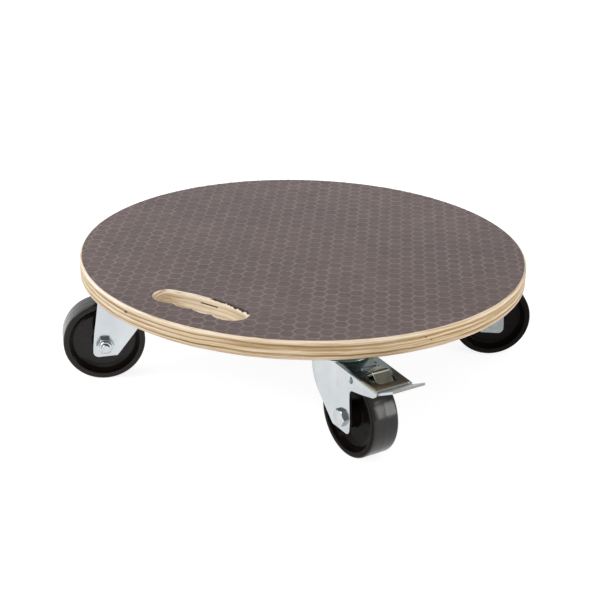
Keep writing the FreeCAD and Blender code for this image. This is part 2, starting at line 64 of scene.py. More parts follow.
# ------------------------------------------------------------------ materials
class Mat:
    """A small builder for one node material."""

    def __init__(self, name):
        self.mat = bpy.data.materials.new(name)
        self.mat.use_nodes = True
        self.nt = self.mat.node_tree
        self.nt.nodes.clear()
        self.out = self.nt.nodes.new("ShaderNodeOutputMaterial")
        tc = self.nt.nodes.new("ShaderNodeTexCoord")
        self.obj = tc.outputs["Object"]

    def new(self, kind, **props):
        n = self.nt.nodes.new(kind)
        for k, v in props.items():
            setattr(n, k, v)
        return n

    def put(self, sock, val):
        if isinstance(val, bpy.types.NodeSocket):
            self.nt.links.new(val, sock)
        elif val is not None:
            sock.default_value = val

    def math(self, op, a, b=None, c=None, clamp=False):
        n = self.new("ShaderNodeMath", operation=op, use_clamp=clamp)
        for i, x in enumerate((a, b, c)):
            self.put(n.inputs[i], x)
        return n.outputs[0]

    def vec(self, op, a, b=None, s=None):
        n = self.new("ShaderNodeVectorMath", operation=op)
        self.put(n.inputs[0], a)
        if b is not None:
            self.put(n.inputs[1], b)
        if s is not None:
            self.put(n.inputs["Scale"], s)
        return n.outputs["Value"] if op in ("LENGTH", "DISTANCE", "DOT_PRODUCT") else n.outputs[0]

    def xyz(self, v):
        n = self.new("ShaderNodeSeparateXYZ")
        self.put(n.inputs[0], v)
        return n.outputs[0], n.outputs[1], n.outputs[2]

    def join(self, x, y, z):
        n = self.new("ShaderNodeCombineXYZ")
        for i, v in enumerate((x, y, z)):
            self.put(n.inputs[i], v)
        return n.outputs[0]

    def shift(self, v, loc=(0, 0, 0), rot=(0, 0, 0), scale=(1, 1, 1)):
        n = self.new("ShaderNodeMapping")
        self.put(n.inputs["Vector"], v)
        n.inputs["Location"].default_value = loc
        n.inputs["Rotation"].default_value = rot
        n.inputs["Scale"].default_value = scale
        return n.outputs[0]

    def noise(self, v, scale, detail=3.0, rough=0.5, dist=0.0):
        n = self.new("ShaderNodeTexNoise", noise_dimensions="3D")
        self.put(n.inputs["Vector"], v)
        n.inputs["Scale"].default_value = scale
        n.inputs["Detail"].default_value = detail
        n.inputs["Roughness"].default_value = rough
        n.inputs["Distortion"].default_value = dist
        return n.outputs[0]

    def voronoi(self, v, scale, feature="F1", rand=1.0):
        n = self.new("ShaderNodeTexVoronoi", feature=feature)
        self.put(n.inputs["Vector"], v)
        n.inputs["Scale"].default_value = scale
        n.inputs["Randomness"].default_value = rand
        return n.outputs["Distance"]

    def mix(self, fac, a, b, blend="MIX"):
        n = self.new("ShaderNodeMix", data_type="RGBA", blend_type=blend)
        self.put(n.inputs[0], fac)
        self.put(n.inputs[6], a)
        self.put(n.inputs[7], b)
        return n.outputs[2]

    def ramp(self, fac, stops, interp="LINEAR"):
        n = self.new("ShaderNodeValToRGB")
        cr = n.color_ramp
        cr.interpolation = interp
        while len(cr.elements) > 1:
            cr.elements.remove(cr.elements[-1])
        cr.elements[0].position = stops[0][0]
        cr.elements[0].color = stops[0][1]
        for p, c in stops[1:]:
            e = cr.elements.new(p)
            e.color = c
        self.put(n.inputs[0], fac)
        return n.outputs[0]

    def map(self, v, a0, a1, b0=0.0, b1=1.0, smooth=True):
        n = self.new("ShaderNodeMapRange", interpolation_type="SMOOTHSTEP" if smooth else "LINEAR")
        self.put(n.inputs["Value"], v)
        n.inputs["From Min"].default_value = a0
        n.inputs["From Max"].default_value = a1
        n.inputs["To Min"].default_value = b0
        n.inputs["To Max"].default_value = b1
        return n.outputs[0]

    def bump(self, height, strength, dist, normal=None):
        n = self.new("ShaderNodeBump")
        n.inputs["Strength"].default_value = strength
        n.inputs["Distance"].default_value = dist
        self.put(n.inputs["Height"], height)
        if normal is not None:
            self.put(n.inputs["Normal"], normal)
        return n.outputs[0]

    def surface(self, color, rough, normal=None, metallic=0.0, **fixed):
        b = self.new("ShaderNodeBsdfPrincipled")
        self.put(b.inputs["Base Color"], color)
        self.put(b.inputs["Roughness"], rough)
        b.inputs["Metallic"].default_value = metallic
        if normal is not None:
            self.put(b.inputs["Normal"], normal)
        for k, v in fixed.items():
            b.inputs[k.replace("_", " ")].default_value = v
        self.shader = b
        self.nt.links.new(b.outputs[0], self.out.inputs[0])
        self.mat.diffuse_color = color if isinstance(color, tuple) else (0.5, 0.5, 0.5, 1)
        return self.mat


PITCH = 12.635 * MM          # honeycomb pitch of the anti-slip film
HEX_TURN = math.radians(-0.98)
HEX_AT = (3.66 * MM, -7.42 * MM)


def hex_metric(m, p):
    """Distance from the nearest cell centre in the hexagon's own metric, 0 to PITCH / 2."""
    q = m.shift(m.vec("SUBTRACT", p, (HEX_AT[0], HEX_AT[1], 0.0)), rot=(0, 0, -HEX_TURN))
    x, y, _ = m.xyz(q)
    w, hgt = PITCH, PITCH * math.sqrt(3)
    res = []
    for off in (0.0, 0.5):
        ax = m.math("SUBTRACT", m.math("FLOORED_MODULO", m.math("ADD", x, w * (0.5 + off)), w), w / 2)
        ay = m.math("SUBTRACT", m.math("FLOORED_MODULO", m.math("ADD", y, hgt * (0.5 + off)), hgt), hgt / 2)
        ax = m.math("ABSOLUTE", ax)
        ay = m.math("ABSOLUTE", ay)
        hx = m.math("MAXIMUM", ax, m.math("ADD", m.math("MULTIPLY", ax, 0.5), m.math("MULTIPLY", ay, math.sqrt(3) / 2)))
        res.append(hx)
    return m.math("MINIMUM", res[0], res[1])


def film_material(name, honeycomb):
    m = Mat(name)
    p = m.obj
    big = m.noise(p, 9.0, 3.0, 0.55)
    mid = m.noise(p, 70.0, 4.0, 0.6)
    fine = m.noise(p, 900.0, 3.0, 0.6)
    # paper fibre of the film: short strands in one direction
    fibre = m.noise(m.shift(p, rot=(0, 0, 0.5), scale=(260.0, 2200.0, 260.0)), 1.0, 2.0, 0.6)
    base = m.mix(m.map(big, 0.35, 0.68), FILM_A, FILM_B)
    base = m.mix(m.map(mid, 0.42, 0.72, 0.0, 0.55), base, FILM_C)
    rough = m.map(mid, 0.3, 0.7, 0.40, 0.50, smooth=False)
    h = m.math("ADD", m.math("MULTIPLY", fine, 0.6), m.math("MULTIPLY", fibre, 0.4))
    if honeycomb:
        d = hex_metric(m, p)
        line = m.map(d, PITCH / 2 - 1.55 * MM, PITCH / 2 - 0.30 * MM)
        core = m.map(d, 0.6 * MM, 4.6 * MM, 1.0, 0.0)
        wear = m.map(m.noise(p, 38.0, 4.0, 0.65), 0.38, 0.66)
        base = m.mix(m.math("MULTIPLY", line, m.map(wear, 0, 1, 0.45, 1.0)), base, FILM_LINE)
        base = m.mix(m.math("MULTIPLY", core, 0.35), base, FILM_CORE)
        # fine scuffs of things that stood on the deck
        sc = m.noise(m.shift(p, rot=(0, 0, 0.9), scale=(30.0, 900.0, 30.0)), 1.0, 3.0, 0.7)
        scuff = m.math("MULTIPLY", m.map(sc, 0.60, 0.74), m.map(m.noise(p, 14.0, 2.0), 0.45, 0.65))
        base = m.mix(m.math("MULTIPLY", scuff, 0.25), base, FILM_SCUFF)
        rough = m.math("ADD", rough, m.math("MULTIPLY", line, -0.07))
        rough = m.math("ADD", rough, m.math("MULTIPLY", scuff, 0.08))
    nrm = m.bump(h, 0.25, 0.00012)
    return m.surface(base, rough, nrm, Specular_IOR_Level=0.5)


FILM_A = srgb(81, 61, 57)
FILM_B = srgb(92, 71, 66)
FILM_C = srgb(71, 53, 50)
FILM_LINE = srgb(112, 93, 88)
FILM_CORE = srgb(84, 68, 64)
FILM_SCUFF = srgb(128, 114, 108)


def ply_material(name):
    """Birch plywood seen on its worked edges: plies by height, grain by direction."""
    m = Mat(name)
    p = m.obj
    x, y, z = m.xyz(p)
    ang = m.math("ARCTAN2", y, x)                   # -pi..pi, cut at the back
    arc = m.math("MULTIPLY", ang, 0.21)
    rad = m.vec("LENGTH", m.shift(p, scale=(1, 1, 0)))
    depth = m.math("MULTIPLY", m.math("SUBTRACT", DECK_TOP * MM, z), 1000.0)     # mm below the top
    # plies wander, most in the middle of the board
    w1 = m.math("SUBTRACT", m.noise(m.shift(p, scale=(1, 1, 0)), 12.0, 2.0, 0.5), 0.5)
    w2 = m.math("SUBTRACT", m.noise(m.shift(p, scale=(1, 1, 1.0)), 52.0, 2.0, 0.5), 0.5)
    mid = m.map(m.math("ABSOLUTE", m.math("SUBTRACT", depth, 9.5)), 3.0, 9.0, 1.0, 0.25)
    wave = m.math("ADD", m.math("MULTIPLY", w1, 3.2), m.math("MULTIPLY", w2, 1.3))
    d = m.math("ADD", depth, m.math("MULTIPLY", wave, mid))
    t = m.math("DIVIDE", d, 18.0)
    c = {
        "l0": srgb(234, 220, 196), "l1": srgb(210, 192, 164), "l2": srgb(195, 175, 145), "m": srgb(178, 157, 124),
        "b": srgb(160, 136, 100), "k": srgb(142, 118, 82), "kk": srgb(130, 106, 72),
    }
    plies = [
        (0.00, c["l0"]), (0.12, c["l0"]), (0.19, c["l1"]), (0.235, c["l2"]), (0.262, c["b"]), (0.285, c["k"]), (0.312, c["b"]),
        (0.330, c["l2"]), (0.395, c["l1"]), (0.420, c["l1"]), (0.448, c["l2"]), (0.470, c["m"]), (0.500, c["b"]), (0.520, c["m"]),
        (0.545, c["l1"]), (0.60, c["l1"]), (0.665, c["l1"]), (0.700, c["m"]), (0.728, c["kk"]), (0.750, c["kk"]), (0.775, c["m"]),
        (0.810, c["l2"]), (0.862, c["l1"]), (0.880, c["b"]), (0.905, c["l1"]), (1.0, c["l2"]),
    ]
    col = m.ramp(t, plies)
    # the inner plies turn their end grain out on part of the circle and darken there
    endg = m.math("MULTIPLY", m.map(m.math("COSINE", m.math("SUBTRACT", ang, -1.04)), 0.93, 0.995),
                  m.map(m.noise(m.join(m.math("MULTIPLY", arc, 14.0), 0.0, m.math("MULTIPLY", depth, 0.42)), 1.0, 2.0), 0.30, 0.52))
    back = m.map(m.math("COSINE", m.math("MULTIPLY", m.math("SUBTRACT", ang, 0.35), 2.0)), -0.2, 0.95)
    blotch = m.map(m.noise(m.join(m.math("MULTIPLY", arc, 11.0), 3.0, m.math("MULTIPLY", depth, 0.16)), 1.0, 3.0), 0.46, 0.66)
    dark = m.math("MAXIMUM", endg, m.math("MULTIPLY", m.math("MULTIPLY", back, blotch), 0.7))
    core = m.math("MULTIPLY", m.map(d, 4.6, 5.3), m.map(d, 8.4, 9.4, 1.0, 0.0))
    core2 = m.math("MULTIPLY", m.map(d, 12.6, 13.2), m.map(d, 14.6, 15.4, 0.8, 0.0))
    band = m.math("MULTIPLY", m.math("MAXIMUM", core, core2), dark)
    tone = m.mix(m.map(m.noise(m.join(m.math("MULTIPLY", arc, 60.0), 0.0, m.math("MULTIPLY", depth, 1.4)), 1.0, 3.0, 0.6), 0.35, 0.7), srgb(154, 126, 86), srgb(172, 144, 104))
    col = m.mix(m.math("MULTIPLY", band, 0.85), col, tone)
    # thin glue lines between the plies, broken and wavering
    fl = m.math("FLOORED_MODULO", m.math("ADD", m.math("DIVIDE", m.math("ADD", d, m.math("MULTIPLY", w2, 1.2)), 1.38), 0.5), 1.0)
    glue = m.map(m.math("ABSOLUTE", m.math("SUBTRACT", fl, 0.5)), 0.05, 0.17, 1.0, 0.0)
    gb = m.noise(m.join(m.math("MULTIPLY", arc, 34.0), m.math("MULTIPLY", rad, 90.0), m.math("MULTIPLY", depth, 0.7)), 1.0, 3.0, 0.6)
    glue = m.math("MULTIPLY", glue, m.map(gb, 0.36, 0.62, 0.10, 0.85))
    glue = m.math("MULTIPLY", glue, m.map(depth, 2.0, 4.0, 0.35, 1.0))
    col = m.mix(m.math("MULTIPLY", glue, 0.42), col, m.mix(1.0, col, srgb(178, 150, 108), "MULTIPLY"))
    # early and late wood of the single veneers: irregular bands and thin dark lines
    vein = m.noise(m.join(m.math("MULTIPLY", arc, 17.0), m.math("MULTIPLY", rad, 40.0), m.math("MULTIPLY", d, 0.95)), 1.0, 4.0, 0.62)
    col = m.mix(m.map(vein, 0.47, 0.64, 0.0, 0.75), col, m.mix(1.0, col, srgb(214, 192, 152), "MULTIPLY"))
    col = m.mix(m.map(vein, 0.34, 0.45, 0.45, 0.0), col, srgb(238, 224, 200))
    # long grain streaks and the pores of end grain
    streak = m.noise(m.join(m.math("MULTIPLY", arc, 42.0), m.math("MULTIPLY", rad, 60.0), m.math("MULTIPLY", d, 2.6)), 1.0, 4.0, 0.66)
    col = m.mix(m.map(streak, 0.44, 0.70, 0.0, 0.60), col, m.mix(1.0, col, srgb(222, 202, 166), "MULTIPLY"))
    col = m.mix(m.map(streak, 0.30, 0.42, 0.40, 0.0), col, srgb(236, 222, 198))
    pores = m.noise(m.shift(p, rot=(0.5, 0.8, 0.3), scale=(1700.0, 1700.0, 1700.0)), 1.0, 2.0, 0.6)
    col = m.mix(m.map(pores, 0.58, 0.80, 0.0, 0.22), col, m.mix(1.0, col, srgb(186, 156, 120), "MULTIPLY"))
    # slow variation round the rim
    slow = m.noise(m.shift(p, scale=(1, 1, 0.3)), 7.0, 3.0, 0.5)
    col = m.mix(m.map(slow, 0.38, 0.68, 0.0, 0.5), col, m.mix(1.0, col, srgb(250, 238, 214), "MULTIPLY"))
    # handling dirt on the top arris and cutter burn along the edge
    grime = m.math("MULTIPLY", m.map(depth, 0.35, 1.1, 1.0, 0.0), m.map(m.noise(p, 60.0, 4.0, 0.7), 0.48, 0.72))
    col = m.mix(m.math("MULTIPLY", grime, 0.35), col, srgb(150, 126, 98))
    # open knots and voids in the inner plies: the dent is painted near-black as painted shade, with a brown ring round
    # it
    for (a, zz, r) in VOIDS:
        du = m.math("SUBTRACT", m.math("MULTIPLY", arc, 1000.0), math.radians(a) * 210.0)
        dv = m.math("SUBTRACT", m.math("SUBTRACT", DECK_TOP - zz, depth), m.math("MULTIPLY", du, 0.10))
        dv = m.math("ADD", dv, m.math("MULTIPLY", w2, 0.6))
        q = m.vec("LENGTH", m.join(m.math("DIVIDE", du, r * 1.6), m.math("DIVIDE", dv, r * 0.80), 0.0))
        q = m.math("ADD", q, m.map(rad, 190.0 * MM, 195.0 * MM, 9.0, 0.0))
        col = m.mix(m.map(q, 0.85, 1.12, 0.99, 0.0), col, srgb(24, 14, 8))
        col = m.mix(m.map(q, 1.0, 1.7, 0.30, 0.0), col, srgb(160, 124, 78))
    # the outer veneers are the palest and least yellow
    outer = m.math("MAXIMUM", m.map(depth, 2.2, 4.2, 1.0, 0.25), m.map(depth, 13.2, 15.0, 0.0, 1.0))
    col = m.mix(outer, col, m.mix(1.0, col, (0.99, 1.01, 1.13, 1), "MULTIPLY"))
    wall = m.math("MULTIPLY", m.map(rad, 196.0 * MM, 199.0 * MM, 1.0, 0.0), 1.0)
    col = m.mix(m.math("MULTIPLY", wall, 0.36), col, srgb(238, 223, 197))
    # the ends of the hand hole cut across the grain and show brown arcs
    cut = m.math("MULTIPLY", m.map(x, -33.0 * MM, -22.0 * MM, 1.0, 0.0), m.map(y, -182.0 * MM, -178.0 * MM))
    cut = m.math("MULTIPLY", cut, m.map(y, -150.0 * MM, -146.0 * MM, 1.0, 0.0))
    cut = m.math("MULTIPLY", cut, m.map(x, -52.0 * MM, -50.0 * MM))
    rings = m.noise(m.join(m.math("MULTIPLY", x, 60.0), m.math("MULTIPLY", y, 60.0), m.math("MULTIPLY", d, 1.15)), 1.0, 2.0, 0.5)
    col = m.mix(m.math("MULTIPLY", cut, m.map(rings, 0.46, 0.58, 0.0, 0.66)), col, srgb(164, 124, 78))
    # near-black ragged marks along the torn film edge on the inner side of the hand hole; the open glue gap in its wall
    # is painted dark as painted shade
    inner = m.math("MULTIPLY", m.map(x, -0.5 * MM, 2.5 * MM), m.map(x, 45.0 * MM, 49.0 * MM, 1.0, 0.0))
    inner = m.math("MULTIPLY", inner, m.map(y, -158.5 * MM, -157.0 * MM))
    inner = m.math("MULTIPLY", inner, m.map(y, -140.0 * MM, -138.0 * MM, 1.0, 0.0))
    chip = m.noise(m.shift(p, scale=(260.0, 260.0, 260.0)), 1.0, 4.0, 0.7)
    chip = m.math("MULTIPLY", m.map(m.math("SUBTRACT", chip, m.math("MULTIPLY", m.math("SUBTRACT", depth, 0.45), 0.36)), 0.33, 0.40), inner)
    spot = m.noise(m.shift(p, loc=(0.7, 0.2, 0.0), scale=(150.0, 150.0, 150.0)), 1.0, 2.0, 0.6)
    spot = m.math("MULTIPLY", m.map(m.math("SUBTRACT", spot, m.math("MULTIPLY", m.math("SUBTRACT", depth, 0.6), 0.12)), 0.50, 0.54), inner)
    chip = m.math("MAXIMUM", chip, m.math("MULTIPLY", spot, m.map(depth, 1.5, 2.0, 1.0, 0.0)))
    col = m.mix(m.math("MULTIPLY", chip, 0.97), col, srgb(24, 16, 14))
    # painted shade in the open glue gap of the hole's wall
    gap_painted_shade = m.math("MULTIPLY", m.map(x, -10.0 * MM, -8.5 * MM), m.map(x, 8.5 * MM, 10.0 * MM, 1.0, 0.0))
    gap_painted_shade = m.math("MULTIPLY", gap_painted_shade, m.map(y, -160.5 * MM, -159.0 * MM))
    gap_painted_shade = m.math("MULTIPLY", gap_painted_shade, m.map(y, -141.0 * MM, -138.0 * MM, 1.0, 0.0))
    gap_painted_shade = m.math("MULTIPLY", gap_painted_shade, m.map(m.math("ABSOLUTE", m.math("SUBTRACT", depth, GAP_DEPTH)), 0.42, 0.72, 1.0, 0.0))
    col = m.mix(m.math("MULTIPLY", gap_painted_shade, m.map(pores, 0.20, 0.40, 0.85, 1.0)), col, srgb(40, 28, 14))
    rough = m.map(streak, 0.3, 0.7, 0.50, 0.68, smooth=False)
    relief = m.noise(m.join(m.math("MULTIPLY", arc, 30.0), m.math("MULTIPLY", rad, 40.0), m.math("MULTIPLY", d, 0.7)), 1.0, 0.0, 0.5)
    h = m.math("SUBTRACT", m.math("MULTIPLY", relief, 0.7), m.math("MULTIPLY", glue, 0.25))
    nrm = m.bump(h, 0.25, 0.00010)
    return m.surface(col, rough, nrm, Specular_IOR_Level=0.3, Coat_Weight=0.06, Coat_Roughness=0.4)


GAP_DEPTH = 5.9              # height of the open glue line in the hand hole's wall, below the top
# azimuth, height and size of the open knots on the rim
VOIDS = [(-103.6, 109.3, 1.35), (-27.9, 110.0, 0.7), (-26.4, 106.6, 0.55), (63.0, 107.4, 1.1), (151.0, 104.2, 0.9), (98.0, 109.4, 0.7), (-152.0, 104.8, 0.8)]


def zinc_material(name, seed, pivot=None, tint=(0.57, 0.60, 0.615, 1), dark=(0.50, 0.53, 0.55, 1), rough=0.17, spots=0.35, scale=1.0, painted_top_reflection=None, rear_face_painted_shade=None):
    """Bright blue-white zinc plating on pressed steel."""
    m = Mat(name)
    p = m.shift(m.obj, loc=(seed * 0.37, seed * 0.19, seed * 0.53))
    cloud = m.noise(p, 22.0 * scale, 3.0, 0.5, 0.3)
    mid = m.noise(p, 120.0 * scale, 4.0, 0.6)
    fine = m.noise(p, 1400.0, 3.0, 0.65)
    roll = m.noise(m.shift(p, scale=(40.0, 40.0, 1600.0)), 1.0, 2.0, 0.6)
    col = m.mix(m.map(cloud, 0.34, 0.70), tint, dark)
    col = m.mix(m.map(mid, 0.46, 0.72, 0.0, 0.15), col, (0.72, 0.74, 0.75, 1))
    # dull spots and faint yellow and pink passivate
    speck = m.voronoi(p, 150.0 * scale)
    col = m.mix(m.math("MULTIPLY", m.map(speck, 0.02, 0.14, spots, 0.0), m.map(mid, 0.48, 0.62)), col, (0.34, 0.35, 0.35, 1))
    col = m.mix(m.map(m.noise(m.shift(p, loc=(3, 1, 2)), 18.0 * scale, 3.0), 0.52, 0.75, 0.0, 0.18), col, (0.60, 0.60, 0.52, 1))
    col = m.mix(m.map(m.noise(m.shift(p, loc=(7, 2, 5)), 30.0 * scale, 3.0), 0.55, 0.75, 0.0, 0.15), col, (0.62, 0.58, 0.64, 1))
    if painted_top_reflection is not None:
        # upward faces are coloured as a painted reflection (dark teal and olive on the fork, pale on the brake pedal)
        # and made rougher
        nz = m.xyz(m.new("ShaderNodeTexCoord").outputs["Normal"])[2]
        tone = m.mix(m.map(m.noise(m.shift(p, loc=(2, 5, 1)), 34.0, 3.0, 0.55), 0.36, 0.66), painted_top_reflection[0], painted_top_reflection[1])
        col = m.mix(m.map(nz, painted_top_reflection[2], painted_top_reflection[3], 0.0, 0.95), col, tone)
    dull = 0.0
    if pivot is not None:
        # the cone of the raised swivel head is rougher and painted dark teal as painted shade
        x, y, z = m.xyz(m.obj)
        far = m.vec("LENGTH", m.join(m.math("SUBTRACT", x, pivot[0]), m.math("SUBTRACT", y, pivot[1]), 0.0))
        hub = m.math("MULTIPLY", m.map(far, 26.6 * MM, 27.2 * MM, 1.0, 0.0), m.map(z, 85.2 * MM, 85.8 * MM))
    if painted_top_reflection is not None and rear_face_painted_shade is None:
        dull = m.math("MULTIPLY", m.math("MULTIPLY", m.map(nz, 0.38, 0.46), m.map(nz, 0.58, 0.70, 1.0, 0.0)), 0.30)
        if pivot is not None:
            dull = m.math("MAXIMUM", dull, m.math("MULTIPLY", hub, 0.36))
            col = m.mix(hub, col, (0.125, 0.175, 0.165, 1))
    if rear_face_painted_shade is not None:
        # faces turned to the trail direction, the sheared end of the sheet, painted dark as painted shade and made
        # rougher
        t = math.radians(rear_face_painted_shade[0])
        e = m.vec("DOT_PRODUCT", m.new("ShaderNodeTexCoord").outputs["Normal"], (math.cos(t), math.sin(t), 0.0))
        e = m.map(e, 0.55, 0.85)
        col = m.mix(m.math("MULTIPLY", e, 0.95), col, rear_face_painted_shade[1])
        dull = m.math("MAXIMUM", m.math("MULTIPLY", e, 0.36), m.math("MULTIPLY", m.map(nz, 0.45, 0.80), 0.30))
    r = m.math("ADD", m.map(cloud, 0.3, 0.7, rough - 0.02, rough + 0.04, smooth=False), m.map(fine, 0.3, 0.7, -0.02, 0.03, smooth=False))
    if painted_top_reflection is not None:
        r = m.math("ADD", r, dull)
    h = m.math("ADD", m.math("MULTIPLY", fine, 0.4), m.math("MULTIPLY", roll, 0.25))
    h = m.math("ADD", h, m.math("MULTIPLY", mid, 0.5))
    return m.surface(col, r, m.bump(h, 0.12, 0.00009), metallic=1.0)


def steel_material(name, seed, base, rough, axis=None):
    """Machined or rolled steel with fine turning marks."""
    m = Mat(name)
    p = m.shift(m.obj, loc=(seed * 0.31, seed * 0.23, seed * 0.41))
    a = m.noise(p, 90.0, 4.0, 0.6)
    f = m.noise(p, 2200.0, 2.0, 0.6)
    col = m.mix(m.map(a, 0.35, 0.7), base, tuple(v * 0.80 for v in base[:3]) + (1,))
    col = m.mix(m.map(m.noise(p, 300.0, 3.0), 0.55, 0.75, 0.0, 0.25), col, (0.30, 0.28, 0.25, 1))
    if axis is not None:
        # spanner flats are painted dark as painted reflection, most of all the ones facing up; the end face keeps the
        # steel colour
        nrm = m.new("ShaderNodeTexCoord").outputs["Normal"]
        end = m.math("ABSOLUTE", m.vec("DOT_PRODUCT", nrm, axis))
        flat = m.map(end, 0.30, 0.72, 1.0, 0.0)
        nz = m.xyz(nrm)[2]
        up = m.map(nz, 0.50, 0.88, 0.76, 0.98)
        up = m.math("MULTIPLY", up, m.map(nz, -0.35, 0.30, 0.25, 1.0))
        col = m.mix(m.math("MULTIPLY", flat, up), col, (0.060, 0.072, 0.072, 1))
    return m.surface(col, m.map(a, 0.3, 0.7, rough - 0.03, rough + 0.05, smooth=False), m.bump(f, 0.10, 0.00006), metallic=1.0)


def spring_material(name, seed, axis):
    """Tempered strip: a painted highlight along the roll and on the sheared ends, the flats painted dark olive as
    painted reflection.
    """
    m = Mat(name)
    p = m.shift(m.obj, loc=(seed * 0.31, seed * 0.23, seed * 0.41))
    a = m.noise(p, 110.0, 3.0, 0.55)
    f = m.noise(m.shift(p, scale=(300.0, 300.0, 2600.0)), 1.0, 3.0, 0.6)
    nrm = m.new("ShaderNodeTexCoord").outputs["Normal"]
    nz = m.xyz(nrm)[2]
    col = m.mix(m.map(a, 0.35, 0.68), (0.235, 0.228, 0.165, 1), (0.165, 0.165, 0.130, 1))
    col = m.mix(m.map(f, 0.45, 0.70, 0.0, 0.35), col, (0.30, 0.29, 0.22, 1))
    # painted highlight where the roll turns up, and on the sheared ends
    roll = m.math("MULTIPLY", m.map(nz, 0.712, 0.76), m.map(nz, 0.965, 0.992, 1.0, 0.0))
    end = m.map(m.math("ABSOLUTE", m.vec("DOT_PRODUCT", nrm, axis)), 0.45, 0.80)
    col = m.mix(m.math("MAXIMUM", roll, end), col, (0.80, 0.82, 0.76, 1))
    return m.surface(col, m.map(a, 0.3, 0.7, 0.12, 0.19, smooth=False), m.bump(f, 0.10, 0.00006), metallic=1.0)


def plastic_material(name, seed, web_gloss=0.24, tread_gloss=0.40, painted_shade=1.0):
    """Moulded black polyamide, glossy, slightly worn on the tread."""
    m = Mat(name)
    p = m.shift(m.obj, loc=(seed * 0.17, seed * 0.29, seed * 0.13))
    x, y, z = m.xyz(m.obj)
    dx = m.math("SUBTRACT", x, OFFSET * MM)
    dz = m.math("SUBTRACT", z, WHEEL_R * MM)
    rad = m.math("MULTIPLY", m.vec("LENGTH", m.join(dx, 0.0, dz)), 1000.0)
    side = m.math("MULTIPLY", m.math("ABSOLUTE", y), 1000.0)
    tread = m.math("MULTIPLY", m.map(rad, 37.1, 37.9), m.map(side, 11.3, 12.8, 1.0, 0.0))
    cloud = m.noise(p, 40.0, 4.0, 0.6, 0.6)
    fine = m.noise(p, 1300.0, 3.0, 0.6)
    # the last argument darkens the base colour of some wheels as painted shade
    col = m.mix(m.map(cloud, 0.35, 0.7), srgb(18 * painted_shade, 13 * painted_shade, 11 * painted_shade), srgb(26 * painted_shade, 20 * painted_shade, 17 * painted_shade))
    dust = m.math("MULTIPLY", m.map(m.noise(p, 95.0, 5.0, 0.7), 0.50, 0.76), m.map(tread, 0, 1, 0.05, 0.22))
    col = m.mix(dust, col, srgb(66, 58, 52))
    # flow marks of the moulding on the flat web
    flow = m.noise(m.shift(p, scale=(60.0, 10.0, 150.0)), 1.0, 3.0, 0.5, 1.5)
    web = m.math("MULTIPLY", m.map(rad, 12.5, 14.0), m.map(rad, 25.0, 27.0, 1.0, 0.0))
    col = m.mix(m.math("MULTIPLY", m.math("MULTIPLY", web, m.map(flow, 0.5, 0.7)), 0.25), col, srgb(42, 34, 31))
    # fine running scratches round the tread
    scr = m.noise(m.join(m.math("MULTIPLY", rad, 0.2), m.math("MULTIPLY", y, 2600.0), m.math("MULTIPLY", m.math("ARCTAN2", dz, dx), 1.4)), 1.0, 3.0, 0.7)
    r = m.map(cloud, 0.3, 0.7, 0.15, 0.21, smooth=False)
    r = m.math("ADD", r, m.math("MULTIPLY", tread, m.map(scr, 0.40, 0.75, 0.0, 0.07)))
    h = m.math("ADD", m.math("MULTIPLY", fine, 0.25), m.math("MULTIPLY", m.math("MULTIPLY", scr, tread), 0.35))
    h = m.math("ADD", h, m.math("MULTIPLY", m.noise(p, 210.0, 3.0, 0.5), 0.8))
    mat = m.surface(col, r, m.bump(h, 0.12, 0.00012))
    gloss = m.mix(m.math("MULTIPLY", m.map(rad, 36.4, 38.1), m.map(side, 12.4, 13.0, 1.0, 0.55)), (web_gloss, web_gloss, web_gloss, 1), (tread_gloss, tread_gloss, tread_gloss, 1))
    m.put(m.shader.inputs["Specular IOR Level"], gloss)
    return mat


# ------------------------------------------------------------------ mesh help
def add_object(name, verts, faces, mat, body, smooth=True, auto=None):
    me = bpy.data.meshes.new(name)
    me.from_pydata([tuple(v) for v in verts], [], faces)
    me.validate()
    me.update()
    o = bpy.data.objects.new(name, me)
    bpy.context.scene.collection.objects.link(o)
    me.materials.append(mat)
    me.polygons.foreach_set("use_smooth", [smooth] * len(me.polygons))
    if auto is not None:
        me.set_sharp_from_angle(angle=math.radians(auto))
    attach(o, body)
    return o


def fix_normals(o):
    bm = bmesh.new()
    bm.from_mesh(o.data)
    bmesh.ops.remove_doubles(bm, verts=bm.verts, dist=1e-7)
    bmesh.ops.recalc_face_normals(bm, faces=bm.faces)
    bm.to_mesh(o.data)
    bm.free()


def rings_to_mesh(rings, closed_u=True, closed_v=False):
    """Rings of equal point counts joined by quads."""
    n = len(rings[0])
    verts = [p for r in rings for p in r]
    faces = []
    m = len(rings)
    for i in range(m if closed_v else m - 1):
        a, b = i * n, ((i + 1) % m) * n
        for k in range(n if closed_u else n - 1):
            k2 = (k + 1) % n
            faces.append((a + k, a + k2, b + k2, b + k))
    return verts, faces


def place_matrix(tag):
    az, tr = CASTERS[tag][:2]
    a = math.radians(az)
    return Matrix.Translation((KINGPIN_R * MM * math.cos(a), KINGPIN_R * MM * math.sin(a), 0)) @ Matrix.Rotation(math.radians(tr), 4, "Z")


def soften(node, mat, width=0.35, seg=2, angle=32.0, planar=True):
    """A carried-over CAD node: worked edges and its finish. The vertices stay as they are."""
    o = NODES[node]
    me = o.data
    me.materials.clear()
    me.materials.append(mat)
    me.polygons.foreach_set("material_index", [0] * len(me.polygons))
    me.polygons.foreach_set("use_smooth", [True] * len(me.polygons))
    w = o.modifiers.new("weld", "WELD")
    w.merge_threshold = 2e-6
    if planar:
        d = o.modifiers.new("planar", "DECIMATE")
        d.decimate_type = "DISSOLVE"
        d.angle_limit = math.radians(0.2)
    if width:
        b = o.modifiers.new("edges", "BEVEL")
        b.width = width * MM
        b.segments = seg
        b.limit_method = "ANGLE"
        b.angle_limit = math.radians(angle)
        b.use_clamp_overlap = True
        b.harden_normals = False
        b.miter_outer = "MITER_ARC"
    n = o.modifiers.new("normals", "WEIGHTED_NORMAL")
    n.keep_sharp = True
    n.weight = 80
    return o


